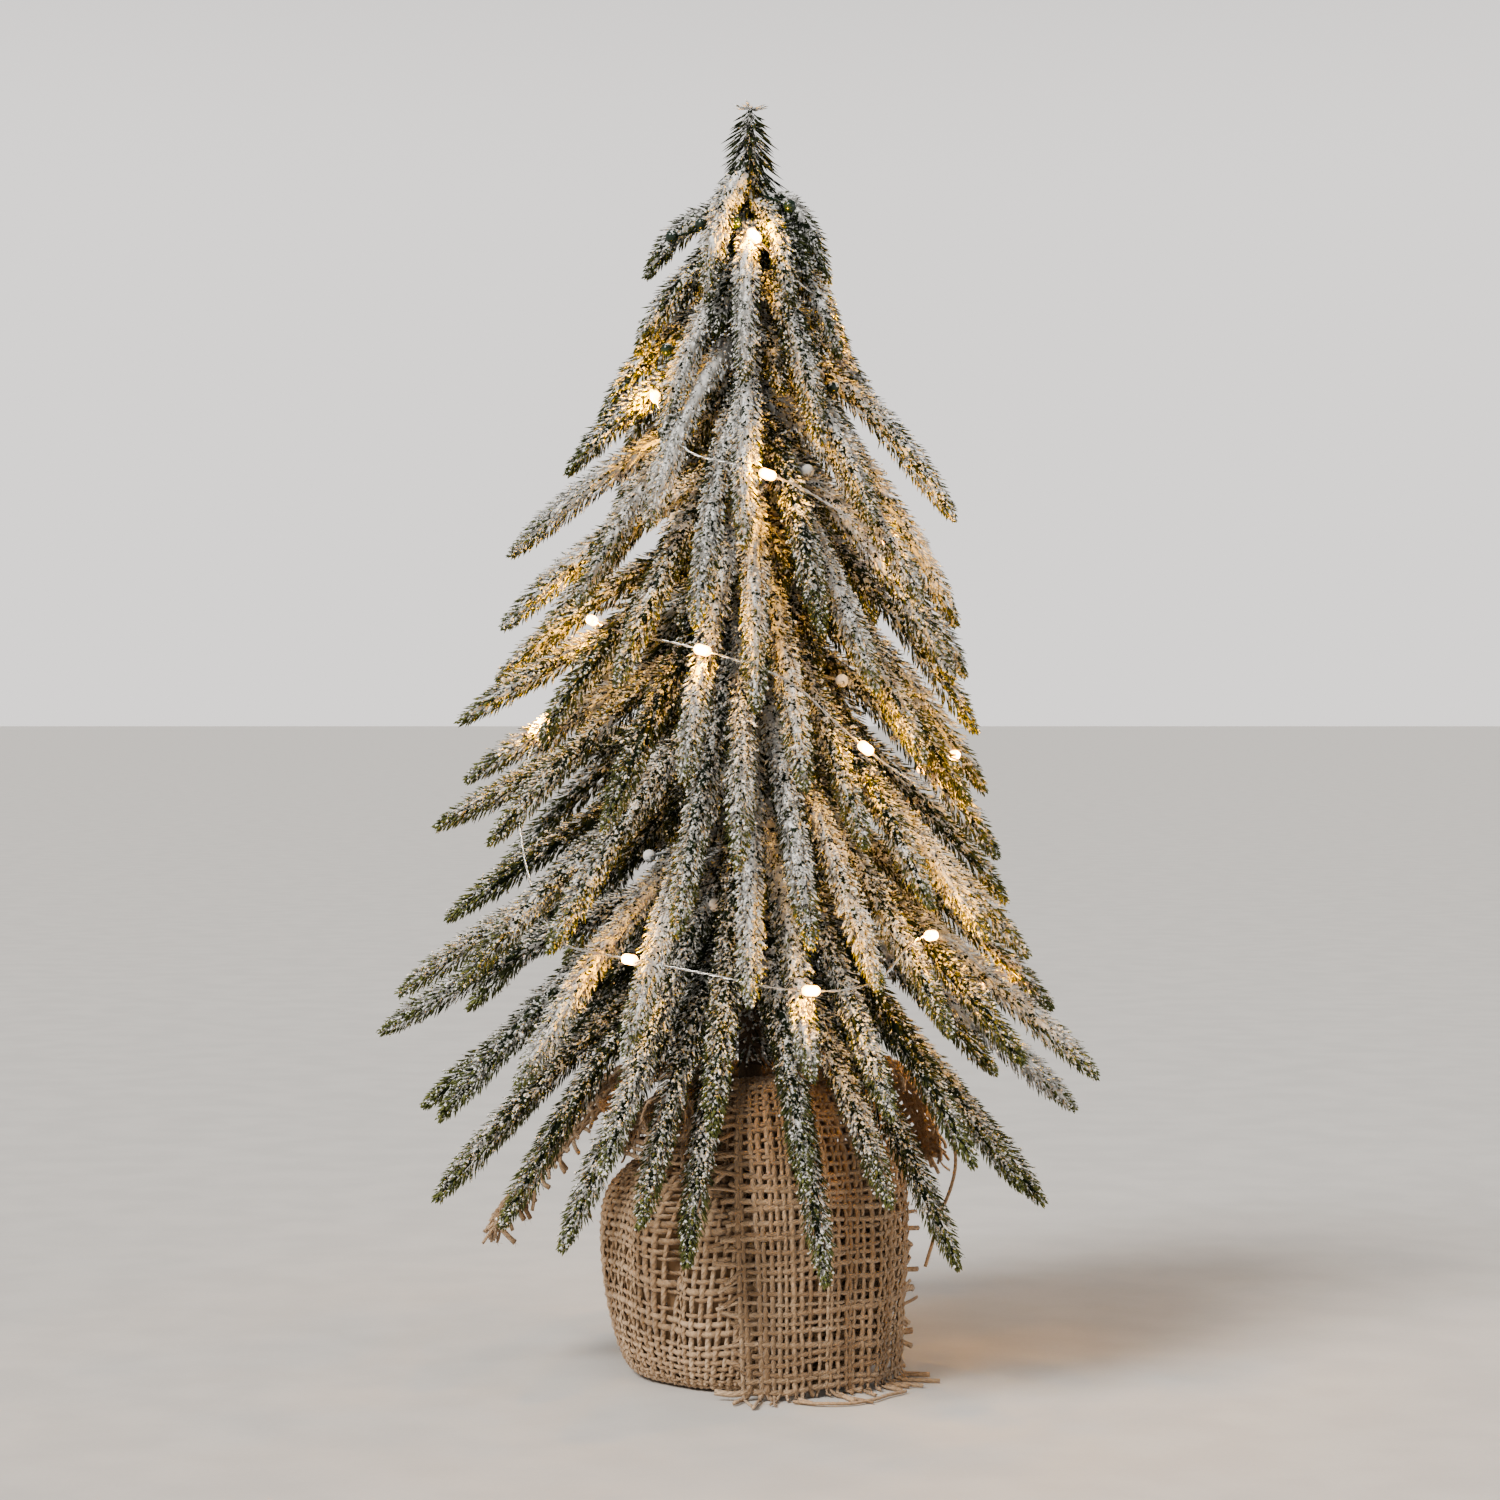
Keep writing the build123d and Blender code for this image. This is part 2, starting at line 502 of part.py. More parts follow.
gland = Pos(case_x0 - 1.2, 86.0, gland_z) * Rot(0, 90, 0) * (
    Cylinder(2.2, 3.2, align=(Align.CENTER, Align.CENTER, Align.MIN))
    + Cylinder(3.2, 1.2, align=(Align.CENTER, Align.CENTER, Align.MIN))
)
gland = gland - Pos(case_x0, 86.0, gland_z) * Rot(0, 90, 0) * Cylinder(WIRE_RADIUS + 0.04, 20)
save(gland, "wire_gland")

cover = block(bay_x0 + 0.1, case_x1, in_y0 - 0.9 + FIT, in_y1 + 0.9 - FIT, RAIL_Z0, RAIL_Z1)
cover = cover - block(case_x1 - 2.0, case_x1 + 1, in_y0 - 2, in_y0 + 0.6, RAIL_Z0 - 1, CASE_H)
cover = cover - block(case_x1 - 2.0, case_x1 + 1, in_y1 - 0.6, in_y1 + 2, RAIL_Z0 - 1, CASE_H)
for step in range(5):
    rib_x = case_x1 - 8.0 - 2.4 * step
    cover = cover + block(rib_x - 0.5, rib_x + 0.5, CASE_Y - 8, CASE_Y + 8, RAIL_Z1, RAIL_Z1 + 0.7)
save(cover, "battery_cover")

knob = block(slot_x - 2.1, slot_x + 2.1, CASE_Y - 2.0, CASE_Y + 2.0, 16.2, 21.4)
knob = knob + block(slot_x - 4.4, slot_x + 4.4, CASE_Y - 6.4, CASE_Y + 6.4, 16.1, RAIL_Z0 - FIT)
for step in (-1, 0, 1):
    knob = knob - block(slot_x - 3, slot_x + 3, CASE_Y + step * 1.2 - 0.2, CASE_Y + step * 1.2 + 0.2, 21.0, 22)
save(knob, "switch_slider")

board = block(case_x0 + CASE_WALL + 0.4, bay_x0 - 1.6, in_y0 + 0.4, in_y1 - 0.4, 4.4, 5.6)
board = board + block(slot_x - 3, slot_x + 3, CASE_Y - 4, CASE_Y + 4, 5.6, 12.0)
board = board + block(slot_x - 2.5, slot_x + 2.5, CASE_Y + 8, CASE_Y + 12, 5.6, 7.2)
save(board, "circuit_board")

CELL_Z = CASE_WALL + 0.3 + CELL_R
spring_solids, plate_solids = [], []
for number, (side, turned) in enumerate(((-1, False), (1, True)), start=1):
    cell_y = CASE_Y + side * 7.9
    if turned:
        foot_x, way = bay_x1 - 0.5 - 6.0, -1
    else:
        foot_x, way = bay_x0 + 0.5 + 6.0, 1
    cell = Pos(foot_x, cell_y, CELL_Z) * Rot(0, 90 * way, 0) * (
        Cylinder(CELL_R, CELL_L, align=(Align.CENTER, Align.CENTER, Align.MIN))
        + Pos(0, 0, CELL_L) * Cylinder(2.6, 1.2, align=(Align.CENTER, Align.CENTER, Align.MIN))
    )
    cell = fillet(cell.edges().filter_by(GeomType.CIRCLE).sort_by(SortBy.RADIUS)[-2:], 0.5)
    save(cell, f"battery_{number}")
    coil = Helix(pitch=1.75, height=5.0, radius=3.7)
    coil_plane = Plane(origin=coil @ 0, z_dir=coil % 0)
    coil_solid = sweep(coil_plane * Circle(0.3), path=coil, is_frenet=True)
    spring_solids.append(Pos(foot_x - way * 5.7, cell_y, CELL_Z) * Rot(0, 90 * way, 0) * coil_solid)
for plate_x in (bay_x0, bay_x1 - 0.4):
    plate_solids.append(block(plate_x, plate_x + 0.4, CASE_Y - 14.5, CASE_Y - 1.4, 3.0, 15.0))
    plate_solids.append(block(plate_x, plate_x + 0.4, CASE_Y + 1.4, CASE_Y + 14.5, 3.0, 15.0))
save(Compound(children=[s for c in spring_solids for s in c.solids()]), "contact_springs")
save(Compound(children=[s for c in plate_solids for s in c.solids()]), "contact_plates")

# ---------------------------------------------------------------- small balls on wire stems
DARK_BALLS = [(-28, -10, 405), (-17, -14, 405), (-7, -18, 409), (14, -16, 407), (-29, -16, 361), (29, -14, 356),
              (20, 16, 400), (-12, 22, 398), (6, 34, 360), (-24, 26, 344)]
FROST_BALLS = [(2, -30, 275), (-2, -34, 230), (14, -36, 204), (32, -26, 245), (-35, -26, 184), (-14, -28, 262),
               (-26, -16, 302), (20, -24, 318), (-8, -26, 336), (30, 10, 262), (-30, 16, 240), (10, 34, 250),
               (-8, 30, 296), (26, 20, 306), (34, -14, 180), (-12, -42, 168), (22, -40, 164), (0, 42, 190),
               (-34, 24, 176), (36, 26, 200), (-18, 16, 322), (16, 14, 334)]


def clear_of_sprigs(ball, stem_root):
    """The smallest gap between a ball, with its stem, and every sprig's centre line."""
    gap = 1e9
    for line in centre_lines:
        for point in line:
            gap = min(gap, math.dist(point, ball) - BALL_R - SPRIG_CORE_RADIUS)
            for step in range(2, 9):
                on_stem = mix(stem_root, ball, step / 10)
                gap = min(gap, math.dist(point, on_stem) - 0.5 - SPRIG_CORE_RADIUS)
    return gap


def place_ball(ball):
    """Turns a ball's stem round the trunk, a little at a time, to the nearest free place."""
    reach = math.hypot(ball[0], ball[1])
    start = math.atan2(ball[1], ball[0])
    best = None
    for step in range(25):
        turn = math.radians(3.0 * ((step + 1) // 2) * (1 if step % 2 else -1))
        for lift in (0, -4, 4, -8):
            angle = start + turn
            place = (reach * math.cos(angle), reach * math.sin(angle), ball[2] + lift)
            stem_root = (3.3 * math.cos(angle), 3.3 * math.sin(angle), place[2] + 7.0)
            gap = clear_of_sprigs(place, stem_root)
            if best is None or gap > best[0]:
                best = (gap, place, stem_root)
            if gap > 0.5:
                return place, stem_root
    print("tight ball", best[0])
    return best[1], best[2]


for name, balls in (("dark_balls", DARK_BALLS), ("frosted_balls", FROST_BALLS)):
    solids = []
    for ball in balls:
        place, stem_root = place_ball(ball)
        stem_length = math.dist(place, stem_root)
        way = tuple((a - b) / stem_length for a, b in zip(place, stem_root))
        stem = extrude(Plane(origin=stem_root, z_dir=way) * Circle(0.45), stem_length)
        solids += (stem + Pos(*place) * Sphere(BALL_R)).solids()
    save(Compound(children=solids), name)
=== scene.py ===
import math

import bmesh
import bpy
import numpy as np
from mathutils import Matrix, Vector


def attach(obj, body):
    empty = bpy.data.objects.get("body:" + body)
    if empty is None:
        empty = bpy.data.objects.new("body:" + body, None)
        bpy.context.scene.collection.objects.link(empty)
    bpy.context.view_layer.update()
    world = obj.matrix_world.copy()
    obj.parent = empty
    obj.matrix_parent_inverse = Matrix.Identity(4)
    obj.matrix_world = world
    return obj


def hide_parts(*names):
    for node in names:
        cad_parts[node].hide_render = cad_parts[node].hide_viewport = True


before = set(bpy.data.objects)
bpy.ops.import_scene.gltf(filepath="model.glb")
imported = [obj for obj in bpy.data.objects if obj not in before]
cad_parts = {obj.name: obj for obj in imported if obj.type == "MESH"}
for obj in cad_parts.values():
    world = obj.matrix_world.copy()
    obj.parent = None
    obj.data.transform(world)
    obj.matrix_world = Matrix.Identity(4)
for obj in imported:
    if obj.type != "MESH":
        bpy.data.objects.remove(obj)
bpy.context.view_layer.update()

rng = np.random.default_rng(7)
MM = 0.001
GOLDEN_TURN = 2.39996
UP = np.array([0, 0, 1.0])
FULL_FLOCK = 0.95

# ---- the tree's layout, in millimetres
# One entry per tier: the height its wires leave the trunk, then the tip of every sprig.
TIERS = [
    (418, [(-36, -8, 388), (27, -8, 386), (-15, -29, 378), (14, -28, 376), (24, 22, 379), (-18, 28, 381)]),
    (401, [(-39, -14, 361), (31, -18, 359), (-2, -40, 349), (36, 16, 354), (4, 42, 350), (-34, 26, 354)]),
    (384, [(-52, -10, 336), (-30, -36, 330), (24, -40, 327), (45, 4, 337), (34, 38, 326), (-6, 52, 325),
           (-44, 26, 330)]),
    (366, [(-63, -18, 318), (-34, -52, 298), (-2, -62, 291), (42, -46, 300), (71, -12, 303), (50, 44, 296),
           (-2, 68, 296), (-50, 46, 302)]),
    (346, [(-84, -4, 290), (-58, -50, 272), (-18, -74, 264), (24, -72, 262), (58, -48, 272), (73, 8, 266),
           (46, 62, 268), (-8, 82, 266), (-60, 54, 274)]),
    (325, [(-85, -26, 264), (-44, -70, 244), (2, -82, 236), (42, -70, 242), (70, -26, 246), (78, 32, 248),
           (22, 82, 244), (-40, 78, 246), (-80, 32, 252)]),
    (304, [(-89, 2, 246), (-70, -56, 226), (-22, -84, 212), (18, -88, 210), (58, -64, 218), (79, -6, 228),
           (60, 62, 222), (-4, 92, 222), (-64, 66, 228)]),
    (284, [(-101, -16, 231), (-48, -80, 196), (-4, -92, 184), (38, -84, 190), (74, -44, 204), (84, 18, 206),
           (34, 86, 200), (-34, 90, 200), (-84, 44, 210)]),
    (263, [(-101, 12, 210), (-88, -50, 190), (-24, -96, 162), (20, -96, 158), (60, -78, 170), (86, -18, 184),
           (70, 66, 178), (4, 100, 172), (-66, 78, 178)]),
    (243, [(-109, -18, 194), (-66, -84, 156), (0, -102, 140), (42, -94, 144), (80, -56, 158), (92, 22, 166),
           (38, 96, 150), (-32, 100, 152), (-94, 44, 170)]),
    (223, [(-108, 14, 160), (-98, -58, 142), (-40, -104, 124), (20, -106, 116), (66, -84, 128), (96, -26, 150),
           (80, 66, 138), (2, 112, 130), (-70, 88, 138)]),
    (203, [(-121, -30, 137), (-76, -92, 112), (-12, -108, 98), (46, -98, 102), (92, -60, 116), (108, 14, 128),
           (50, 104, 112), (-34, 110, 112), (-104, 56, 124)]),
    (184, [(-131, 6, 120), (-104, -64, 98), (-48, -96, 84), (18, -100, 80), (74, -78, 84), (120, -26, 108),
           (92, 72, 98), (8, 118, 92), (-74, 92, 96)]),
    (166, [(-114, -14, 96), (-84, -54, 60), (-36, -92, 66), (46, -86, 72), (92, -46, 72), (116, 12, 92),
           (60, 96, 66), (-22, 104, 62), (-96, 54, 72)]),
]
# Sprigs start at the trunk's surface, or past the end of a stub, and step up and down within a tier.
TRUNK_SURFACE = 3.2
STUB_END = 9.6
ROOT_STEPS = (-5.0, 0.0, 5.0)
# The lowest sprigs, each bent on its own wire.
BENT = [
    (151, (-108, -34, 66)), (149, (-63, -66, 54)), (151, (-21, -86, 52)),
    (149, (25, -86, 46)), (151, (70, -60, 47)), (149, (102, -22, 63)),
]
# The light wire: corners, and lights in the middle of straight runs.
ROUTE = [
    ("bend", -30.4, 86, 9), ("bend", -46, 86, 9), ("bend", -50, 82, 36), ("bend", -41, 77, 74),
    ("bend", -30, 80, 106), ("light", -2, 82, 126), ("bend", 30, 76, 132), ("bend", 60, 54, 135),
    ("light", 84, 14, 136), ("bend", 82, -30, 144), ("light", 61, -64, 159), ("bend", 44, -86, 146),
    ("light", 20, -94, 143), ("bend", -12, -92, 148), ("light", -40, -78, 152), ("bend", -64, -58, 155),
    ("bend", -77, -28, 174), ("bend", -82, -14, 202), ("light", -73, 4, 231), ("bend", -66, 34, 228),
    ("light", -40, 62, 222), ("bend", 0, 76, 216), ("bend", 34, 70, 214), ("light", 64, 42, 213),
    ("bend", 83, 10, 214), ("light", 71, -26, 219), ("bend", 60, -52, 208), ("light", 39, -62, 222),
    ("bend", 14, -68, 245), ("light", -16, -66, 255), ("bend", -40, -50, 260), ("light", -55, -24, 266),
    ("bend", -60, 8, 270), ("bend", -42, 38, 274), ("light", -12, 56, 278), ("bend", 22, 54, 282),
    ("light", 52, 32, 286), ("bend", 61, 0, 288), ("light", 48, -32, 293), ("bend", 28, -49, 304),
    ("light", 6, -50, 315), ("bend", -22, -46, 322), ("light", -33, -20, 344), ("bend", -30, 8, 350),
    ("light", -10, 31, 357), ("bend", 18, 24, 364), ("light", 28, 0, 374), ("bend", 17, -21, 383),
    ("light", 1.5, -21, 400),
]
# Outline of the wrapped foot, as radius and height.
POUCH = [(36.0, 0.0), (43.0, 2.2), (47.0, 9.0), (50.5, 22.0), (52.8, 38.0), (53.2, 52.0), (51.6, 62.5),
         (46.5, 70.5), (37.5, 76.5), (26.0, 81.0), (16.0, 85.5), (11.2, 90.5)]
# Free pieces of cloth: azimuth, then radius, height, half width as an angle, droop of the edges.
PANELS = {
    "hessian_front_flap": (-53.0, [
        (13.5, 103.0, 43, 0.0), (27.0, 106.5, 43, 0.0), (41.0, 103.0, 43, 0.0), (51.5, 89.0, 43, 0.0),
        (56.5, 70.0, 42, 0.0), (57.8, 48.0, 41, 0.0), (56.5, 24.0, 40, 0.0), (55.5, 3.0, 39, 0.0)]),
    "hessian_corner_left": (180.0, [
        (13.5, 103.2, 46, 0.0), (28.0, 107.0, 38, 1.0), (44.0, 107.0, 30, 3.0), (58.0, 99.0, 23, 6.0),
        (70.0, 85.0, 17, 8.0), (81.0, 69.0, 11, 7.0), (90.0, 55.0, 6, 3.0)]),
    "hessian_corner_right": (24.0, [
        (13.5, 103.2, 30, 0.0), (28.0, 108.0, 24, 1.0), (43.0, 111.0, 19, 2.0), (56.0, 107.0, 16, 4.0),
        (65.0, 96.0, 12, 5.0), (70.0, 83.0, 8, 4.0), (72.0, 74.0, 5, 2.0)]),
    "hessian_corner_back": (92.0, [
        (13.5, 103.2, 30, 0.0), (28.0, 106.5, 30, 1.0), (43.0, 104.0, 28, 3.0), (54.0, 92.0, 24, 5.0),
        (60.0, 76.0, 18, 5.0), (63.0, 61.0, 11, 4.0), (64.0, 50.0, 6, 2.0)]),
}

# ---- small helpers
def noise1(rows, length, steps, amount):
    """Smooth wandering values: one row per thread or twig, within +-amount."""
    knots = rng.uniform(-1, 1, (rows, steps + 3))
    t = np.linspace(0, steps, length)
    i = np.minimum(t.astype(int), steps - 1)
    f = t - i
    a, b, c, d = knots[:, i], knots[:, i + 1], knots[:, i + 2], knots[:, i + 3]
    out = (a * (1 - f) ** 3 + b * (3 * f**3 - 6 * f**2 + 4)
           + c * (-3 * f**3 + 3 * f**2 + 3 * f + 1) + d * f**3) / 6
    return out * amount * 1.5


def unit(v):
    return v / np.maximum(np.linalg.norm(v, axis=-1, keepdims=True), 1e-12)


def wrapped(angle):
    return (angle + np.pi) % (2 * np.pi) - np.pi


def turned(way, toward):
    """Turns whose z runs along way, with x square to both directions."""
    flat = unit(np.cross(way, toward))
    return np.stack([flat, np.cross(way, flat), way], -1)


def distances(points):
    """How far along a line each of its points lies."""
    return np.concatenate([[0], np.cumsum(np.linalg.norm(np.diff(points, axis=0), axis=1))])


def picked(at, along, rows):
    """Rows of values known at distances along a line, read at other distances."""
    return np.stack([np.interp(at, along, rows[:, k]) for k in range(rows.shape[1])], -1)


def linked(name, data):
    obj = bpy.data.objects.new(name, data)
    bpy.context.scene.collection.objects.link(obj)
    return obj


def enter(piece, body="tree", node=None):
    """Give a finished piece its body, and hide the CAD node that it stands for."""
    if node:
        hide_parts(node)
    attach(piece, body)
    return piece


def smooth_rows(rows, t):
    """Catmull-Rom through the rows, at parameters t from 0 to 1."""
    rows = np.asarray(rows, float)
    n = len(rows) - 1
    padded = np.vstack([2 * rows[0] - rows[1], rows, 2 * rows[-1] - rows[-2]])
    x = np.asarray(t) * n
    i = np.clip(x.astype(int), 0, n - 1)
    f = (x - i)[..., None]
    p0, p1, p2, p3 = (padded[i + k] for k in range(4))
    return 0.5 * (2 * p1 + (p2 - p0) * f + (2 * p0 - 5 * p1 + 4 * p2 - p3) * f**2
                  + (3 * p1 - p0 - 3 * p2 + p3) * f**3)


class Shape:
    """Vertices and faces of one kind of small part, made with bmesh operators and copied many times."""

    def __init__(self, build):
        bm = bmesh.new()
        build(bm)
        bmesh.ops.recalc_face_normals(bm, faces=bm.faces)
        bm.verts.ensure_lookup_table()
        self.co = np.array([v.co for v in bm.verts])
        self.faces = [[v.index for v in f.verts] for f in bm.faces]
        bm.free()


class Pile:
    """Gathers copies of shapes, with one value per vertex for each named attribute."""

    def __init__(self, names):
        self.names = names
        self.co, self.loops, self.sizes, self.count = [], [], [], 0
        self.values = {name: [] for name in names}

    def add(self, shape, place, turn, scale, **values):
        """Copies at place (n, 3), with the columns of turn (n, 3, 3) as their axes, and scale (n, 3)."""
        n, v = len(place), len(shape.co)
        local = shape.co[None] * scale[:, None, :]
        co = np.einsum("nij,nvj->nvi", turn, local) + place[:, None, :]
        self.co.append(co.reshape(-1, 3))
        flat = np.array([i for f in shape.faces for i in f])
        sizes = np.array([len(f) for f in shape.faces])
        self.loops.append((flat[None] + (self.count + np.arange(n) * v)[:, None]).ravel())
        self.sizes.append(np.tile(sizes, n))
        for name in self.names:
            value = np.asarray(values.get(name, 0.0), float)
            if value.ndim < 2:
                value = value.reshape(-1, 1)
            self.values[name].append(np.broadcast_to(value, (n, v)).ravel())
        self.count += n * v

    def add_tubes(self, rings, **values):
        """Tubes as tube_rings gives them."""
        co, quads, caps = rings
        self.co.append(co)
        self.loops.append(np.concatenate([quads.ravel(), caps.ravel()]) + self.count)
        self.sizes.append(np.repeat([4, caps.shape[1]], [len(quads), len(caps)]))
        for name in self.names:
            self.values[name].append(np.broadcast_to(np.asarray(values.get(name, 0.0), float), (len(co),)))
        self.count += len(co)

    def make(self, name, material):
        co, loops, sizes = np.vstack(self.co), np.concatenate(self.loops), np.concatenate(self.sizes)
        co[:, 2] = np.maximum(co[:, 2], 0.05 * MM)
        mesh = bpy.data.meshes.new(name)
        mesh.vertices.add(len(co))
        mesh.vertices.foreach_set("co", co.ravel())
        mesh.loops.add(len(loops))
        mesh.loops.foreach_set("vertex_index", loops.astype(np.int32))
        mesh.polygons.add(len(sizes))
        mesh.polygons.foreach_set("loop_start", np.concatenate([[0], np.cumsum(sizes)[:-1]]).astype(np.int32))
        mesh.polygons.foreach_set("loop_total", sizes.astype(np.int32))
        mesh.update(calc_edges=True)
        mesh.polygons.foreach_set("use_smooth", np.full(len(sizes), True))
        for key in self.names:
            layer = mesh.attributes.new(key, "FLOAT", "POINT")
            layer.data.foreach_set("value", np.concatenate(self.values[key]).astype(np.float32))
        mesh.materials.append(material)
        return linked(name, mesh)


def frames(points):
    """Unit tangents of the lines, and two unit directions across each."""
    tangent = unit(np.gradient(points, axis=-2))
    side = np.cross(tangent, UP)
    flat = np.linalg.norm(side, axis=-1, keepdims=True) < 0.05
    side = unit(np.where(flat, np.array([1.0, 0, 0]), side))
    return tangent, side, np.cross(side, tangent)


def tube_rings(points, side, over, radius, sides):
    """Rings round lines: points (n, m, 3), radius (n, m). Gives vertices, quads and the caps of the ends."""
    n, m = points.shape[:2]
    angle = np.arange(sides) * 2 * np.pi / sides
    ring = (side[:, :, None, :] * np.cos(angle)[None, None, :, None]
            + over[:, :, None, :] * np.sin(angle)[None, None, :, None])
    co = points[:, :, None, :] + ring * radius[:, :, None, None]
    index = np.arange(n * m * sides).reshape(n, m, sides)
    a, b = index[:, :-1], index[:, 1:]
    quads = np.stack([a, b, np.roll(b, -1, 2), np.roll(a, -1, 2)], -1).reshape(-1, 4)
    caps = np.concatenate([index[:, 0], index[:, -1, ::-1]]).reshape(-1, sides)
    return co.reshape(-1, 3), quads, caps


def along_rings(values, points, sides):
    """Values that hold for a whole ring, repeated for each of its vertices."""
    return np.repeat(np.broadcast_to(values, points.shape[:2]).ravel(), sides)


def round_rings(points, sides):
    """How far round its ring each vertex stands, from 0 to 1."""
    return np.tile(np.arange(sides) / sides, points.shape[0] * points.shape[1])


# ---- materials
def node_group(name, inputs, outputs):
    group = bpy.data.node_groups.new(name, "ShaderNodeTree")
    for label, kind, value in inputs:
        socket = group.interface.new_socket(name=label, in_out="INPUT", socket_type=kind)
        if value is not None:
            socket.default_value = value
    for label, kind in outputs:
        group.interface.new_socket(name=label, in_out="OUTPUT", socket_type=kind)
    return group, group.nodes.new("NodeGroupInput"), group.nodes.new("NodeGroupOutput")


class Nodes:
    """Short ways to add and join nodes in one tree."""

    def __init__(self, tree):
        self.tree = tree

    def put(self, socket, value):
        if isinstance(value, bpy.types.NodeSocket):
            self.tree.links.new(value, socket)
        elif value is not None:
            socket.default_value = value

    def dress(self, node, sockets):
        for name, value in sockets.items():
            self.put(node.inputs[name], value)

    def add(self, kind, sockets=(), **settings):
        node = self.tree.nodes.new(kind)
        for key, value in settings.items():
            setattr(node, key, value)
        self.dress(node, dict(sockets))
        return node

    def axes(self, vector):
        return self.add("ShaderNodeSeparateXYZ", {"Vector": vector}).outputs

    def math(self, operation, a, b=None, c=None):
        node = self.add("ShaderNodeMath", operation=operation)
        for socket, value in zip(node.inputs, (a, b, c)):
            self.put(socket, value)
        return node.outputs[0]

    def noise(self, vector, scale, detail, roughness):
        node = self.add("ShaderNodeTexNoise", {"Vector": vector, "Scale": scale, "Detail": detail,
                                               "Roughness": roughness})
        return node.outputs[0]

    def ramp(self, value, low, high, to_low=0.0, to_high=1.0):
        node = self.add("ShaderNodeMapRange", {"Value": value, "From Min": low, "From Max": high,
                                               "To Min": to_low, "To Max": to_high},
                        interpolation_type="SMOOTHSTEP")
        return node.outputs[0]

    def mix(self, factor, a, b):
        node = self.add("ShaderNodeMix", data_type="RGBA")
        self.put(node.inputs[0], factor)
        self.put(node.inputs[6], a)
        self.put(node.inputs[7], b)
        return node.outputs[2]

    def attribute(self, name):
        return self.add("ShaderNodeAttribute", attribute_name=name).outputs["Fac"]

    def place(self):
        return self.add("ShaderNodeTexCoord").outputs["Object"]

    def bump(self, height, distance, strength, normal=None):
        node = self.add("ShaderNodeBump", {"Height": height, "Distance": distance, "Strength": strength})
        if normal is not None:
            self.put(node.inputs["Normal"], normal)
        return node.outputs[0]


def material(name):
    mat = bpy.data.materials.new(name)
    mat.use_nodes = True
    mat.node_tree.nodes.clear()
    nodes = Nodes(mat.node_tree)
    shader = nodes.add("ShaderNodeBsdfPrincipled")
    out = nodes.add("ShaderNodeOutputMaterial")
    mat.node_tree.links.new(shader.outputs[0], out.inputs[0])
    return mat, nodes, shader


def rgb(r, g, b):
    return (r, g, b, 1.0)


def shaded(colour, share):
    return rgb(*(c * share for c in colour[:3]))


# Flock: a granular white coat where "amount" is high. Mask and height, shared by all that is flocked.
flock_group, group_in, group_out = node_group(
    "Flock grains", [("Vector", "NodeSocketVector", None), ("Amount", "NodeSocketFloat", 0.5)],
    [("Mask", "NodeSocketFloat"), ("Height", "NodeSocketFloat")])
g = Nodes(flock_group)
grain = g.noise(group_in.outputs["Vector"], 900.0, 2.0, 0.65)
clump = g.noise(group_in.outputs["Vector"], 280.0, 3.0, 0.6)
both = g.math("MULTIPLY_ADD", grain, 0.55, g.math("MULTIPLY", clump, 0.45))
level = g.math("ADD", g.math("SUBTRACT", both, 0.5), g.math("SUBTRACT", group_in.outputs["Amount"], 0.5))
mask = g.ramp(level, -0.02, 0.03)
flock_group.links.new(mask, group_out.inputs["Mask"])
flock_group.links.new(g.math("MULTIPLY", mask, grain), group_out.inputs["Height"])


def flock(nodes, amount):
    node = nodes.add("ShaderNodeGroup", node_tree=flock_group)
    nodes.put(node.inputs["Vector"], nodes.place())
    nodes.put(node.inputs["Amount"], amount)
    return node.outputs["Mask"], node.outputs["Height"]


def needle_material():
    mat, n, shader = material("Flocked needles")
    tip, frost, tone = n.attribute("tip"), n.attribute("frost"), n.attribute("tone")
    dark = n.mix(tone, rgb(0.008, 0.015, 0.008), rgb(0.030, 0.045, 0.018))
    fresh = n.mix(tone, rgb(0.070, 0.088, 0.030), rgb(0.215, 0.225, 0.080))
    green = n.mix(tip, dark, fresh)
    snow_tone = n.noise(n.place(), 260.0, 3.0, 0.6)
    snow = n.mix(n.ramp(snow_tone, 0.35, 0.65), rgb(0.60, 0.595, 0.57), rgb(0.93, 0.92, 0.89))
    mask, height = flock(n, frost)
    n.dress(shader, {
        "Base Color": n.mix(mask, green, snow),
        "Roughness": n.ramp(mask, 0.0, 1.0, 0.6, 0.95),
        "Specular IOR Level": 0.14,
        "Normal": n.bump(height, 0.00025, 0.8),
    })
    return mat


def hessian_material(name, dark, light, deep):
    mat, n, shader = material(name)
    tone, twist, lift = n.attribute("tone"), n.attribute("along"), n.attribute("lift")
    around = n.attribute("around")
    ply = n.math("SINE", n.math("MULTIPLY_ADD", twist, 2400.0, n.math("MULTIPLY", around, 12.566)))
    fibre = n.noise(n.place(), 1900.0, 3.0, 0.7)
    blotch = n.noise(n.place(), 60.0, 2.0, 0.5)
    colour = n.mix(tone, dark, light)
    colour = n.mix(n.ramp(fibre, 0.35, 0.7), n.mix(0.35, colour, deep), colour)
    colour = n.mix(n.ramp(blotch, 0.35, 0.7, 0.0, 0.35), colour, deep)
    # Painted shade: yarns are mixed towards the deep colour where they dip under their crossing yarns (lift 0),
    # and not at all on frayed ends and hairs (lift 1).
    colour = n.mix(n.ramp(lift, 0.0, 1.0, 0.45, 0.0), colour, deep)
    n.dress(shader, {
        "Base Color": colour,
        "Roughness": 0.92,
        "Specular IOR Level": 0.15,
        "Sheen Weight": 0.25,
        "Sheen Roughness": 0.5,
    })
    first = n.bump(ply, 0.0002, 0.8)
    n.put(shader.inputs["Normal"], n.bump(fibre, 0.0004, 0.8, first))
    return mat


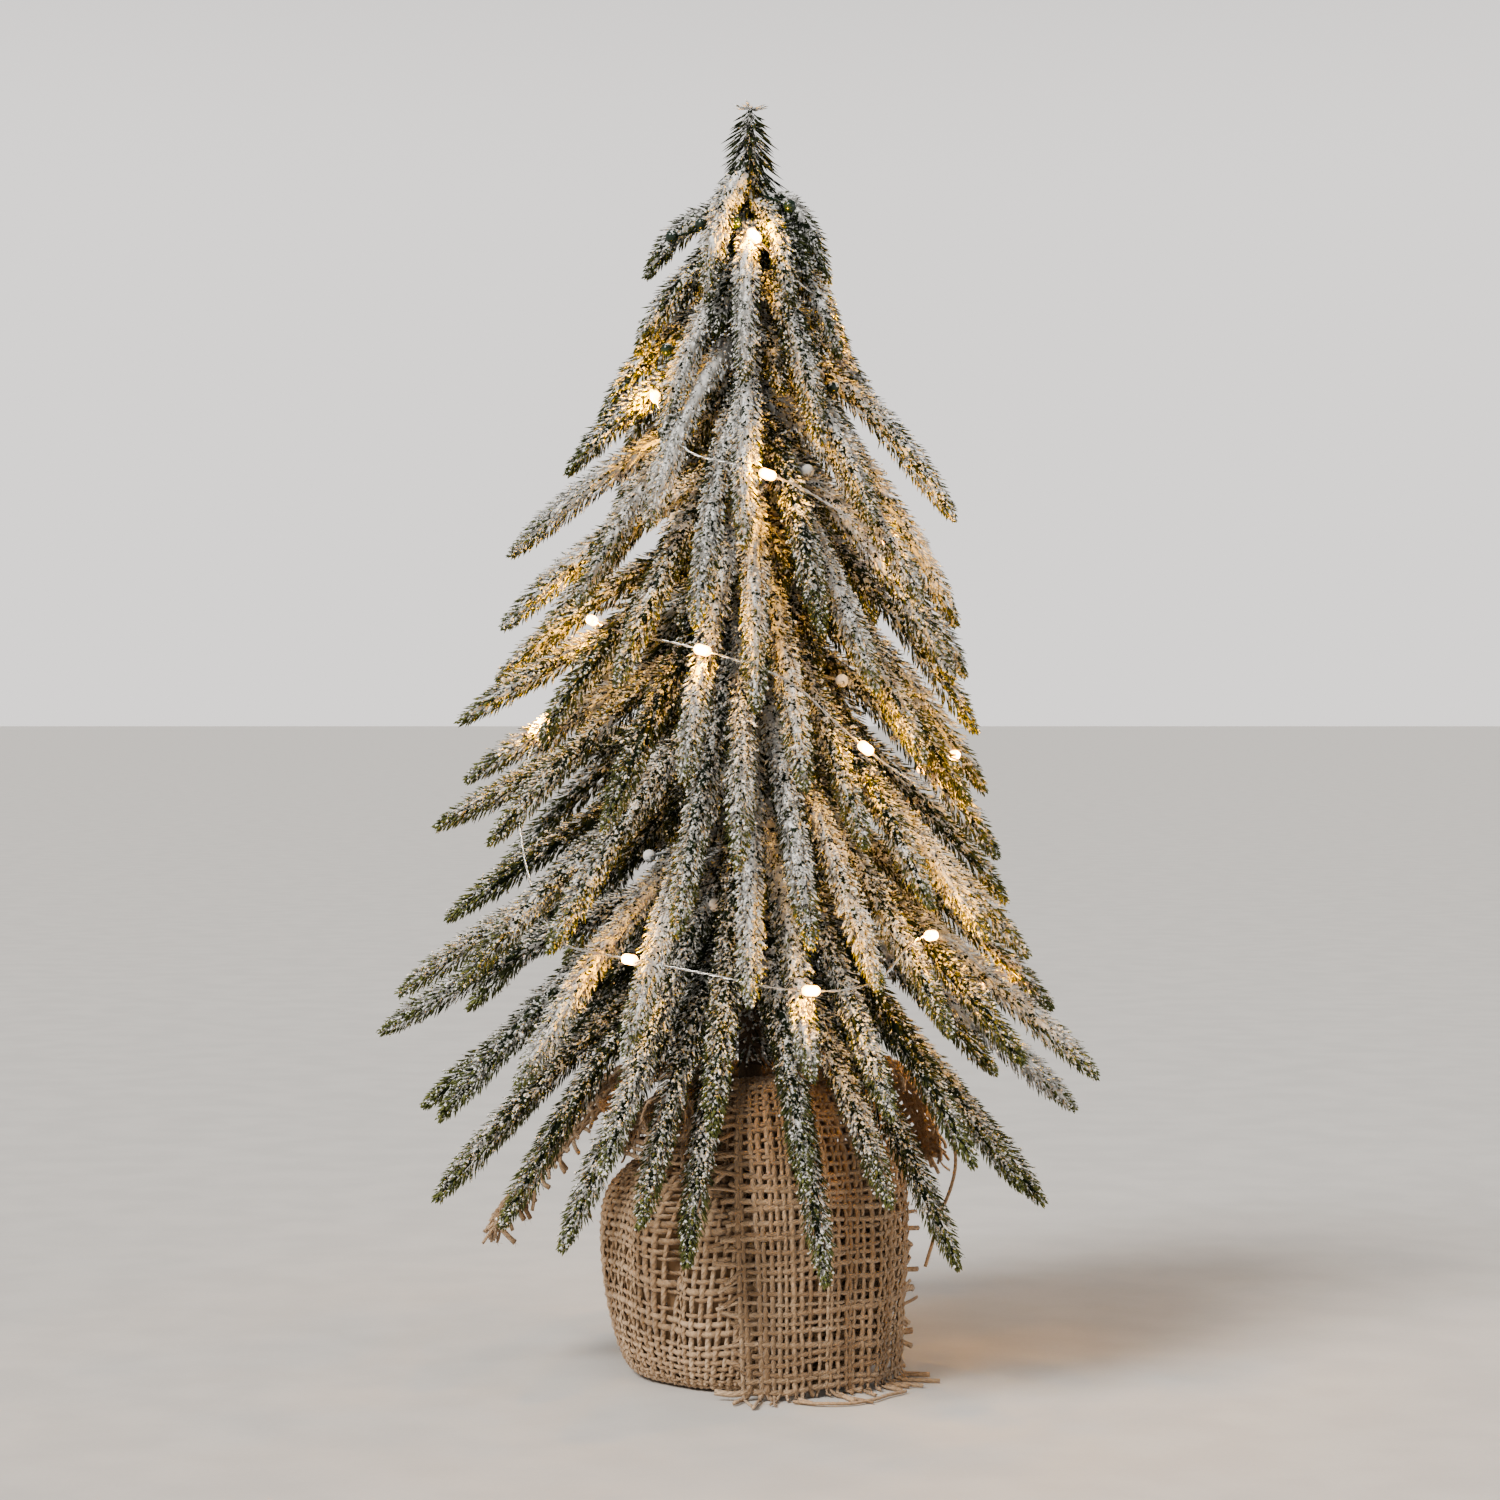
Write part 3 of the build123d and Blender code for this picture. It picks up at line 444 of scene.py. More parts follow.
def plain_material(name, colour, roughness, metallic=0.0, grain=(900.0, 0.00005), spots=None, coat=0.0,
                   vary=0.72):
    mat, n, shader = material(name)
    texture = n.noise(n.place(), grain[0], 4.0, 0.65)
    wide = n.noise(n.place(), grain[0] * 0.06, 2.0, 0.5)
    darker = shaded(colour, vary)
    base = n.mix(n.ramp(wide, 0.3, 0.7), darker, colour)
    if spots:
        base = n.mix(n.ramp(texture, spots[1], spots[1] + 0.08), base, spots[0])
    n.dress(shader, {
        "Base Color": base,
        "Roughness": n.ramp(texture, 0.3, 0.7, roughness * 0.85, min(1.0, roughness * 1.15)),
        "Metallic": metallic,
        "Coat Weight": coat,
        "Normal": n.bump(texture, grain[1], 0.6),
    })
    return mat


needles = needle_material()
hessian = hessian_material("Jute hessian", rgb(0.42, 0.27, 0.155), rgb(0.80, 0.59, 0.39), rgb(0.17, 0.10, 0.05))
# Painted shade: the dark jute colour of the sheet inside the pouch stands for the shaded inside seen through
# the open weave.
shade_lining = plain_material("Jute lining", rgb(0.30, 0.19, 0.105), 0.95, grain=(700.0, 0.0004))
fringe_mat = hessian_material("Frayed jute ends", rgb(0.50, 0.34, 0.20), rgb(0.86, 0.68, 0.47),
                              rgb(0.22, 0.13, 0.07))

# ---- sprigs
def needle_shape(bm):
    """A flat, slightly bowed needle one unit long, widest past its middle."""
    bmesh.ops.create_uvsphere(bm, u_segments=3, v_segments=2, radius=0.5)
    bmesh.ops.translate(bm, verts=bm.verts, vec=(0, 0, 0.5))
    for v in bm.verts:
        if 0.2 < v.co.z < 0.8:
            v.co = (v.co.x * 0.92, v.co.y * 0.42 + 0.04, 0.6)


def grain_shape(bm):
    bmesh.ops.create_uvsphere(bm, u_segments=3, v_segments=2, radius=0.55)


def hair_shape(bm):
    """A fine closed spike, one unit long."""
    bmesh.ops.create_cone(bm, cap_ends=True, segments=3, radius1=0.5, radius2=0.0, depth=1.0)
    bmesh.ops.translate(bm, verts=bm.verts, vec=(0, 0, 0.5))
    bmesh.ops.remove_doubles(bm, verts=bm.verts, dist=0.001)


NEEDLE = Shape(needle_shape)
HAIR = Shape(hair_shape)
GRAIN = Shape(grain_shape)
NEEDLE_HEIGHT = NEEDLE.co[None, :, 2].clip(0, 1)
NEEDLES_PER_MM = 6.0


def sprig_line(z, tip, root_radius, count=90):
    """The wire of one sprig: out from the trunk, then over and down. Metres."""
    tip = np.array(tip, float)
    reach = math.hypot(tip[0], tip[1])
    root = np.array([tip[0] / reach * root_radius, tip[1] / reach * root_radius, z])
    spread = min(1.0, max(0.0, (reach - 35.0) / 60.0))
    out, drop = 0.60 - 0.14 * spread, 0.04 + 0.20 * spread
    bend = np.array([root[0] + out * (tip[0] - root[0]), root[1] + out * (tip[1] - root[1]),
                     root[2] - drop * (root[2] - tip[2])])
    t = np.linspace(0, 1, count)[:, None]
    return ((1 - t) ** 2 * root + 2 * t * (1 - t) * bend + t**2 * tip) * MM


def across(line, s):
    """Position, tangent, and two directions across, at distances s along a line."""
    run = distances(line)
    return picked(s, run, line), *(unit(picked(s, run, way)) for way in frames(line))


def spike_scale(thickness, lengths):
    """Scales for needles or hairs of one thickness, each with its own length, in millimetres."""
    return np.stack([np.full(len(lengths), thickness), np.full(len(lengths), thickness), lengths], -1) * MM


def add_grains(pile, spots, widths, tone=0.5):
    spin = np.broadcast_to(np.eye(3), (len(spots), 3, 3))
    pile.add(GRAIN, spots, spin, widths * MM, tone=tone, frost=FULL_FLOCK)


def grow_sprig(pile, line, frost, green, start=6.0, needle=5.7):
    """Needles all round one wire, leaning to its tip, with flock grains caught on them."""
    length = distances(line)[-1]
    count = int((length / MM - start) * NEEDLES_PER_MM)
    s = np.linspace(start * MM, length - 0.4 * MM, count) + rng.normal(0, 0.25 * MM, count)
    s = s.clip(2 * MM, length)
    place, tangent, side, over = across(line, s)
    angle = np.arange(count) * GOLDEN_TURN + rng.normal(0, 0.25, count)
    out = side * np.cos(angle)[:, None] + over * np.sin(angle)[:, None]
    left = (length - s) / MM
    lean = np.interp(left, [0, 4, 14, 40], [0.24, 0.46, 0.60, 0.64]) + rng.normal(0, 0.10, count)
    size = np.interp(left, [0, 5, 16], [0.55, 0.72, 1.0]) * rng.uniform(0.86, 1.12, count)
    size *= np.interp(s / MM, [start, start + 12], [0.8, 1.0])
    way = unit(tangent * np.cos(lean)[:, None] + out * np.sin(lean)[:, None])
    base = np.interp(left, [0, 6, 22, 60], [0.4, 1.3, 2.3, 2.6])[:, None] * MM
    scale = spike_scale(1.45, size * needle)
    scale[:, :2] *= rng.uniform(0.85, 1.15, (count, 1))
    fresh = np.interp(left, [0, 12, 32, 65], [1.0, 0.85, 0.45, 0.12]) * green
    fresh = (fresh + rng.normal(0, 0.08, count)).clip(0, 1)
    patch = np.interp(s, np.linspace(0, length, 9), rng.normal(0, 0.035, 9))
    bare_tip = 0.10 * np.interp(left, [0, 12, 30], [1, 0.5, 0])
    coat = frost + 0.07 * out[:, 2] + patch + rng.normal(0, 0.06, count) - bare_tip
    pile.add(NEEDLE, place + out * base, turned(way, out), scale, tip=fresh, tone=rng.uniform(0, 1, count),
             frost=coat[:, None] + 0.13 - 0.34 * NEEDLE_HEIGHT**1.5)
    # Grains of flock caught on the needles.
    grains = int(count * 1.3)
    pick = rng.integers(0, count, grains)
    part = rng.beta(1.3, 1.9, grains)
    spot = place[pick] + out[pick] * base[pick] + way[pick] * (part * size[pick] * needle * MM)[:, None]
    spot += rng.normal(0, 0.28 * MM, (grains, 3))
    keep = rng.uniform(0, 1, grains) < (coat[pick] + 0.35).clip(0, 1)
    spot = spot[keep]
    width = rng.uniform(0.5, 1.3, (len(spot), 1))
    add_grains(pile, spot, width * rng.uniform(0.7, 1.2, (len(spot), 3)), rng.uniform(0, 1, len(spot)))
    # The moulded stem.
    _, side, over = frames(line[None])
    stem = np.interp(np.linspace(0, 1, len(line)), [0, 0.1, 0.7, 1.0], [1.4, 2.9, 2.5, 0.8]) * MM
    stem = stem * (1 + 0.16 * np.sin(np.arange(len(line)) * 2.3))
    pile.add_tubes(tube_rings(line[None, ::3], side[:, ::3], over[:, ::3], stem[None, ::3], 7),
                   tone=0.3, frost=frost - 0.02)


def frost_at(z):
    """The flock lies thickest towards the top and thins out on the lowest sprigs."""
    return float(np.interp(z, [50, 150, 260, 350, 450], [0.49, 0.515, 0.54, 0.55, 0.49]))


def green_at(z):
    return float(np.interp(z, [50, 200, 330, 420], [1.0, 0.9, 0.5, 0.3]))


def tier_sprigs(tier_z, tips):
    """The height of each sprig's root, and its tip."""
    return [(tier_z + ROOT_STEPS[i % 3], tip) for i, tip in enumerate(tips)]


def needle_pile():
    return Pile(["tip", "tone", "frost"])


for number, tier in enumerate(TIERS, start=1):
    pile = needle_pile()
    for z, tip in tier_sprigs(*tier):
        line = sprig_line(z, tip, TRUNK_SURFACE)
        grow_sprig(pile, line, frost_at(tip[2]) + rng.normal(0, 0.03), green_at(tip[2]))
    sprigs = pile.make(f"needles_tier_{number:02d}", needles)
    enter(sprigs, node=f"sprig_tier_{number:02d}")

for number, (z, tip) in enumerate(BENT, start=1):
    pile = needle_pile()
    grow_sprig(pile, sprig_line(z, tip, STUB_END), frost_at(tip[2]), green_at(tip[2]), start=2.0)
    sprigs = pile.make(f"needles_bent_{number}", needles)
    enter(sprigs, body=f"sprig_{number}", node=f"bent_sprig_{number}")


INNER_COUNT = 46
INNER_GAP = 5.2
COARSE_STEPS = 25


def inner_layout(lines):
    """Short sprigs that fill the tree near its trunk, each turned to the nearest free gap."""
    placed = []
    for k in range(INNER_COUNT):
        z = 196.0 + 4.8 * k
        reach = 20.0 + (430.0 - z) * 0.115 + 1.25 * ((k * 7) % 5)
        fall = 0.75 * reach + 2.0 * ((k * 3) % 4)
        taken = np.concatenate([line[4::2] for line in lines + placed])
        best = None
        for step in range(21):
            turn = 7 * ((step + 1) // 2) * (1 if step % 2 else -1)
            angle = math.radians(k * 137.5 + turn)
            tip = (reach * math.cos(angle), reach * math.sin(angle), z - fall)
            line = sprig_line(z, tip, TRUNK_SURFACE, COARSE_STEPS)
            near = line[8::2]
            gap = np.linalg.norm(near[:, None] - taken[None], axis=2).min()
            if best is None or gap > best[0]:
                best = (gap, line)
            if gap > INNER_GAP * MM:
                break
        placed.append(best[1])
    return placed


outer = [root_and_tip for tier in TIERS for root_and_tip in tier_sprigs(*tier)] + BENT
outer = [sprig_line(z, tip, TRUNK_SURFACE, COARSE_STEPS) for z, tip in outer]
pile = needle_pile()
for line in inner_layout(outer):
    grow_sprig(pile, line, frost_at(line[-1, 2] / MM) - 0.03, 0.25, needle=7.0)
enter(pile.make("needles_inner", needles), node="inner_sprigs")


def grow_leader(pile):
    """The upright top: needles that hang down and out from the stem, and a small star on top."""
    rows, star, grains = 330, 14, 520
    s = np.linspace(0, 1, rows)
    angle = np.arange(rows) * GOLDEN_TURN
    out = np.stack([np.cos(angle), np.sin(angle), np.zeros(rows)], -1)
    fall = np.interp(s, [0, 0.6, 1.0], [0.70, 0.80, 1.0]) + rng.normal(0, 0.09, rows)
    way = unit(out * np.sin(fall)[:, None] - UP * np.cos(fall)[:, None])
    size = np.interp(s, [0, 0.5, 0.9, 1.0], [22.0, 18.0, 11.0, 6.0]) * rng.uniform(0.75, 1.1, rows)
    place = out * np.interp(s, [0, 1], [2.6, 0.7])[:, None]
    place[:, 2] = np.interp(s, [0, 1], [392.0, 447.0])
    coat = 0.46 + rng.normal(0, 0.05, rows)
    pile.add(NEEDLE, place * MM, turned(way, out), spike_scale(1.9, size), tip=rng.uniform(0, 0.25, rows),
             tone=rng.uniform(0, 1, rows), frost=coat[:, None] + 0.08 - 0.22 * NEEDLE_HEIGHT)

    angle = np.arange(star) * 2 * np.pi / star + rng.normal(0, 0.1, star)
    tilt = rng.uniform(1.15, 1.55, star)
    ray = np.stack([np.cos(angle) * np.sin(tilt), np.sin(angle) * np.sin(tilt), np.cos(tilt)], -1)
    centre = np.tile([0, 0, 447.5], (star, 1)) * MM
    pile.add(NEEDLE, centre, turned(ray, UP), spike_scale(1.9, rng.uniform(5.5, 7.5, star)),
             tip=0.1, tone=0.4, frost=0.56)

    pick = rng.integers(0, rows, grains)
    part = rng.beta(1.3, 1.8, grains)
    spot = place[pick] + way[pick] * (part * size[pick])[:, None] + rng.normal(0, 0.25, (grains, 3))
    add_grains(pile, spot * MM, rng.uniform(0.35, 0.9, (grains, 1)) * np.ones((1, 3)))

    height = np.linspace(391.6, 449.0, 12)
    stem = (height[:, None] * UP * MM)[None]
    _, side, over = frames(stem)
    radius = np.interp(np.linspace(0, 1, 12), [0, 0.55, 0.7, 1.0], [3.6, 3.4, 2.0, 0.7])[None] * MM
    pile.add_tubes(tube_rings(stem, side, over, radius, 8), tone=0.3, frost=0.5)


def grow_trunk(pile):
    """Short needles and flock left on the trunk between the sprigs."""
    low, high, count = 112.0, 396.0, 1900
    angle = np.arange(count) * GOLDEN_TURN
    out = np.stack([np.cos(angle), np.sin(angle), np.zeros(count)], -1)
    fall = rng.uniform(-0.1, 0.9, count)
    way = unit(out * np.cos(fall)[:, None] - UP * np.sin(fall)[:, None])
    turn = turned(way, out + rng.normal(0, 0.05, (count, 3)))
    place = out * 3.6
    place[:, 2] = np.linspace(low, high, count)
    size = rng.uniform(7.0, 11.5, count)
    coat = 0.50 + rng.normal(0, 0.06, count)
    pile.add(NEEDLE, place * MM, turn, spike_scale(1.6, size), tip=rng.uniform(0, 0.2, count),
             tone=rng.uniform(0, 1, count), frost=coat[:, None] + 0.12 - 0.22 * NEEDLE_HEIGHT)
    grains = count * 2
    pick = rng.integers(0, count, grains)
    spot = (place[pick] + way[pick] * (rng.uniform(0.2, 1.0, grains) * size[pick])[:, None]) * MM
    spot += rng.normal(0, 0.4 * MM, spot.shape)
    add_grains(pile, spot, rng.uniform(0.5, 1.3, (grains, 1)) * np.ones((1, 3)))


pile = needle_pile()
grow_trunk(pile)
enter(pile.make("needles_trunk", needles))

pile = needle_pile()
grow_leader(pile)
enter(pile.make("needles_leader", needles), node="leader_sprig")

# ---- hessian
YARN_PITCH = 2.85 * MM
YARN_SIDES = 4
FRAY_STEPS = 6
FLOOR_GAP = 0.85 * MM


def yarn_pile():
    return Pile(["tone", "along", "around", "lift"])


def hairs_on(pile, points, outward, count, longest, tone=(0.3, 1.0)):
    """Loose fibres standing off the yarns."""
    pick = rng.integers(0, len(points), count)
    way = unit(outward[pick] * rng.uniform(0.1, 1.0, (count, 1)) + rng.normal(0, 0.8, (count, 3)))
    turn = turned(way, rng.normal(0, 1, (count, 3)))
    scale = spike_scale(0.15, rng.uniform(0.4, 1.0, count) * longest)
    # lift 1: the hairs get no painted shade.
    pile.add(HAIR, points[pick], turn, scale, tone=rng.uniform(*tone, count), lift=1.0)


def weave(name, node, surface, width, height, thick=0.80, fray_u=(0, 0), fray_v=(0, 0), wave=0.42,
          loose=0.10, hairs=500, closed=False):
    """Plain weave over surface(u, v) -> points. u and v run from 0 to 1 across width and height, in mm.
    fray gives how far, in mm, the cross yarns stick out past each edge."""
    pile = yarn_pile()
    warps, wefts = int(width * MM / YARN_PITCH), int(height * MM / YARN_PITCH)
    if closed and warps % 2:
        warps += 1
    for kind in ("warp", "weft"):
        is_warp = kind == "warp"
        gaps, crossings = (warps, wefts) if is_warp else (wefts, warps)
        span, ends = (height, fray_v) if is_warp else (width, fray_u)
        lines = gaps if is_warp and closed else gaps + 1
        run = np.linspace(0, 1, crossings * 2 + 1)[None].repeat(lines, 0)
        if max(ends) > 0:
            low = -rng.uniform(0.15, 1.0, (lines, 1)) * ends[0] / span
            high = rng.uniform(0.15, 1.0, (lines, 1)) * ends[1] / span
            before = low * np.linspace(1, 0.08, FRAY_STEPS)[None] if ends[0] else np.zeros((lines, 0))
            after = 1 + high * np.linspace(0.08, 1, FRAY_STEPS)[None] if ends[1] else np.zeros((lines, 0))
            run = np.concatenate([before, run, after], 1)
        steps = run.shape[1]
        fixed = (np.arange(lines) / gaps)[:, None].repeat(steps, 1)
        fixed = fixed + noise1(lines, steps, max(3, lines // 9), loose * 2.4) / gaps
        u, v = (fixed, run) if is_warp else (run, fixed)
        points = surface(u, v)
        du = surface(u + 0.004, v) - surface(u - 0.004, v)
        dv = surface(u, v + 0.004) - surface(u, v - 0.004)
        normal = unit(np.cross(du, dv))
        # Each yarn passes over and under the ones it crosses.
        inside = ((run >= 0) & (run <= 1)).astype(float)
        rise = np.cos(np.pi * (run * crossings + np.arange(lines)[:, None])) * inside
        rise = rise if is_warp else -rise
        points = points + normal * (rise * wave * MM)[..., None]
        # Past the edge it wanders and droops, and nothing sinks into the table.
        past = np.maximum(-run, run - 1).clip(0) * span * MM
        drift = noise1(lines * 3, steps, 8, 1.0).reshape(lines, 3, -1).transpose(0, 2, 1)
        points = points + drift * (past * 0.55)[..., None] - UP * (past * 0.18)[..., None]
        under = np.maximum(FLOOR_GAP - points[..., 2], 0)
        points[..., :2] += unit(points[..., :2]) * under[..., None]
        points[..., 2] += under
        tangent = unit(np.gradient(points, axis=1))
        side = unit(np.cross(tangent, normal))
        over = np.cross(side, tangent)
        radius = thick * MM * (1 + noise1(lines, steps, max(4, steps // 12), 0.22))
        radius *= rng.uniform(0.85, 1.15, (lines, 1))
        radius *= np.where(past > 0, 0.9, 1.0)
        tone = rng.uniform(0, 1, (lines, 1)) * 0.6 + 0.2 + noise1(lines, steps, 9, 0.25)
        length = np.array([distances(line) for line in points])
        # lift drives the painted shade in the material: 0 where a yarn dips under its crossing yarn, 1 where it
        # passes over and past the edges.
        lift = np.where(past > 0, 1.0, 0.5 + 0.5 * rise)
        pile.add_tubes(tube_rings(points, side * 1.22, over * 0.72, radius, YARN_SIDES),
                       tone=along_rings(tone.clip(0, 1), points, YARN_SIDES),
                       along=along_rings(length, points, YARN_SIDES),
                       around=round_rings(points, YARN_SIDES),
                       lift=along_rings(lift, points, YARN_SIDES))
        hairs_on(pile, points.reshape(-1, 3), normal.reshape(-1, 3), hairs, 3.2)
    return enter(pile.make(name, hessian), node=node)


POUCH_TO_TIE = np.array(POUCH + [(10.4, 94.0), (10.4, 97.0)])


def folds(angle, z):
    """How far the gathered cloth stands in or out, in millimetres, round and up the foot."""
    up = np.clip((z - 18) / 75, 0, 1)
    wave = (np.sin(angle * 3 + 0.6) * 0.9 + np.sin(angle * 7 + 2.0 + z * 0.02) * 0.9
            + np.sin(angle * 12 + 1.1 - z * 0.03) * 0.55)
    out = wave * (0.35 + 1.5 * up)
    crease = wrapped(angle - math.radians(-118.5) - (z - 56) * 0.0019)
    out -= 9.5 * np.exp(-(crease / 0.075) ** 2) * np.interp(z, [14, 32, 50, 78, 86], [0, 0.45, 1.0, 1.0, 0.1])
    out += 4.2 * np.exp(-((crease + 0.23) / 0.13) ** 2) * np.interp(z, [12, 36, 60, 80], [0, 0.5, 1.0, 0.9])
    out += 2.0 * np.exp(-((crease - 0.22) / 0.12) ** 2) * np.interp(z, [12, 40, 70, 84], [0, 0.6, 1.0, 0])
    ridge = z - (81 + (angle + 2.5) * 8.0)
    out += 4.0 * np.exp(-(ridge / 3.4) ** 2) * np.exp(-((angle + 2.35) / 0.42) ** 2)
    return out


def pouch_surface(u, v, inset=0.0):
    row = smooth_rows(POUCH_TO_TIE, np.clip(v + 0.012 * np.sin(u * 8 * np.pi + 1.0), 0, 1))
    angle = wrapped((u * 2 + 0.55 + 0.14 * v) * np.pi)
    radius, z = row[..., 0] - 0.7 - inset, row[..., 1]
    gather = np.clip(radius / 30, 0.15, 1)
    radius = radius + folds(angle, z) * gather
    z = np.maximum(z, 0.75)
    return np.stack([radius * np.cos(angle), radius * np.sin(angle), z], -1) * MM


def line_pouch_with_shade():
    """A grid wrapped inside the pouch, in dark jute colour: painted shade of the inside that shows through the
    open weave.
    """
    bm = bmesh.new()
    bmesh.ops.create_grid(bm, x_segments=120, y_segments=44, size=0.5)
    sheet = np.array([v.co for v in bm.verts]) + 0.5
    for v, co in zip(bm.verts, pouch_surface(sheet[:, 0], sheet[:, 1] * 0.94 + 0.015, inset=1.7)):
        v.co = co
    bmesh.ops.remove_doubles(bm, verts=bm.verts, dist=0.00002)
    bmesh.ops.recalc_face_normals(bm, faces=bm.faces)
    mesh = bpy.data.meshes.new("hessian_shade_lining")
    bm.to_mesh(mesh)
    bm.free()
    mesh.shade_smooth()
    mesh.materials.append(shade_lining)
    return enter(linked("hessian_shade_lining", mesh))


pouch = weave("hessian_pouch_weave", "hessian_pouch", pouch_surface, 296, 146, closed=True, hairs=2600)
inner_shade_sheet = line_pouch_with_shade()


def collar_surface(u, v):
    rows = [(10.8, 96.6), (13.0, 99.2), (19.0, 100.6), (29.0, 99.8), (37.0, 95.0), (42.5, 87.0), (45.5, 80.0)]
    beyond = np.maximum(v - 1, 0)
    row = smooth_rows(rows, np.clip(v, 0, 1))
    angle = wrapped((u * 2 + 0.55) * np.pi)
    ruffle = np.sin(angle * 9 + 0.5) * 1.1 + np.sin(angle * 5 + 2.2) * 0.9
    out = row[..., 0] + beyond * 24
    z = row[..., 1] - 0.8 + ruffle * np.clip((out - 12) / 14, 0, 1) * np.clip((46 - out) / 10, 0.25, 1)
    z = z - beyond * 22
    out = out + np.sin(angle * 7 + 1.0) * 1.2 * np.clip((out - 20) / 20, 0, 1)
    return np.stack([out * np.cos(angle), out * np.sin(angle), z], -1) * MM


def panel_surface(azimuth, rows, folds_across):
    """The middle surface of one free piece of cloth. u runs across it, v from the neck outward."""

    def bare(u, v):
        row = smooth_rows(rows, np.clip(v, 0, 1))
        side = u * 2 - 1
        angle = np.radians(azimuth + side * row[..., 2])
        height = row[..., 1] - row[..., 3] * side * side
        return np.stack([row[..., 0] * np.cos(angle), row[..., 0] * np.sin(angle), height], -1) * MM

    def surface(u, v):
        inside = np.clip(v, 0.0, 1.0)
        points = bare(u, inside)
        tail = bare(u, np.full_like(inside, 1.0)) - bare(u, np.full_like(inside, 0.97))
        points = points + tail * (np.maximum(v - 1, 0) / 0.03)[..., None]
        du = bare(u + 0.01, inside) - bare(u - 0.01, inside)
        dv = bare(u, np.minimum(inside + 0.01, 1)) - bare(u, np.maximum(inside - 0.01, 0))
        normal = unit(np.cross(du, dv))
        lift = sum(size * np.sin(2 * np.pi * (turns * u + slant * v) + start)
                   for size, turns, slant, start in folds_across)
        return points + normal * (lift * np.interp(inside, [0, 0.25, 1.0], [0.15, 0.8, 1.0]))[..., None] * MM

    return surface


def weave_panel(name, node, folds_across, width, height, sides, end, hairs, loose=0.18):
    """One free piece of cloth, frayed at its two sides and its outer end."""
    surface = panel_surface(*PANELS[node], folds_across)
    return weave(name, node, surface, width, height, fray_u=sides, fray_v=(0, end), loose=loose, hairs=hairs)


# The folds across a panel: size in millimetres, number, slant and start.
flap = weave_panel("hessian_flap_weave", "hessian_front_flap", [(0.9, 2.1, 0.3, 0.4), (0.6, 4.3, -0.4, 2.0)],
                   84, 133, (8, 9), 12, 2600, loose=0.16)
collar = weave("hessian_collar_weave", "hessian_collar", collar_surface, 190, 47, fray_v=(0, 5), loose=0.2,
               hairs=1400, closed=True, thick=0.72)
left = weave_panel("hessian_left_weave", "hessian_corner_left", [(1.1, 1.4, 0.5, 1.0), (0.5, 3.2, -0.5, 0.2)],
                   52, 101, (7, 7), 10, 1600)
right = weave_panel("hessian_right_weave", "hessian_corner_right", [(1.0, 1.2, 0.4, 2.5), (0.5, 2.7, 0.5, 0.2)],
                    34, 82, (6, 6), 9, 1200)
back = weave_panel("hessian_back_weave", "hessian_corner_back", [(1.0, 1.3, 0.4, 0.8), (0.5, 3.1, 0.5, 0.2)],
                   50, 88, (6, 6), 9, 900)


def curl_surface(u, v):
    """A loose end rolled up on itself, with its open end to the front."""
    centre, axis = np.array([-27.5, -38.5, 95.5]), unit(np.array([-0.10, -1.0, 0.06]))
    x_way = unit(np.array([1.0, 0, 0]) - axis * axis[0])
    y_way = np.cross(axis, x_way)
    turn = np.radians(-60 + u * 450)
    radius = 9.0 - 5.4 * u
    return (centre + (radius * np.cos(turn))[..., None] * x_way + (radius * np.sin(turn))[..., None] * y_way
            + (v * 25.0)[..., None] * axis) * MM


curl = weave("hessian_curl_weave", "hessian_curl", curl_surface, 50, 25, wave=0.36, thick=0.66,
             fray_v=(0, 3), hairs=600)

# ---- twine and loose yarns
TWINE_SIDES = 6
TWINE_PITCH = 4.5 * MM


def yarn(pile, points, radius, plies=2, tone=0.6):
    """A twisted yarn along a line of points, in metres."""
    step = distances(points)
    fine = np.linspace(0, step[-1], max(8, int(step[-1] / (0.45 * MM))))
    line = picked(fine, step, points)[None]
    _, side, over = frames(line)
    offset_share, thick_share = (0.48, 0.62) if plies > 1 else (0.0, 1.0)
    for ply in range(plies):
        angle = ((fine / TWINE_PITCH + ply / plies) * 2 * np.pi)[None, :, None]
        offset = (side * np.cos(angle) + over * np.sin(angle)) * radius * offset_share
        thick = np.full(line.shape[:2], radius * thick_share)
        # lift 0.8: the twine gets a little painted shade all along.
        pile.add_tubes(tube_rings(line + offset, side, over, thick, TWINE_SIDES), tone=tone, lift=0.8,
                       along=along_rings(fine[None], line, TWINE_SIDES), around=round_rings(line, TWINE_SIDES))
    hairs_on(pile, line[0], np.tile(UP, (len(fine), 1)), int(len(fine) * 0.8), 2.6, tone=(0.5, 1.0))


def spline_points(points, count=80):
    return smooth_rows(np.array(points, float), np.linspace(0, 1, count)) * MM


def tie_neck():
    """Two turns of twine round the neck, a knot of two loops behind, and two short ends."""
    radius, knot_at, turns = 11.55, math.radians(205), 2
    pile = yarn_pile()
    turn = np.linspace(0, turns * 2 * np.pi, 260)
    x, y = radius * np.cos(turn + knot_at), radius * np.sin(turn + knot_at)
    yarn(pile, np.stack([x, y, 93.1 + 0.88 * turn / (2 * np.pi)], -1) * MM, 0.95 * MM)
    x, y = x[0], y[0]
    loop = np.linspace(0, 2 * np.pi, 50)
    for tilt in (0.5, -0.7):
        ring = np.stack([x * 1.12 + 0.5 * np.cos(loop), y * 1.12 + 1.25 * np.cos(loop + tilt),
                         93.7 + 1.3 * np.sin(loop)], -1)
        yarn(pile, ring * MM, 0.85 * MM)
    for swing, fall in ((-8, 15), (10, 12)):
        end = [(x * 1.1, y * 1.14, 93.6), (x * 1.1 - 5, y * 1.1 + swing * 0.35, 93.2),
               (x * 1.1 - 10, y * 1.1 + swing, 93.6 - fall * 0.2)]
        yarn(pile, spline_points(end, 30), 0.85 * MM)
    enter(pile.make("twine_tie", fringe_mat), node="neck_tie")


tie_neck()

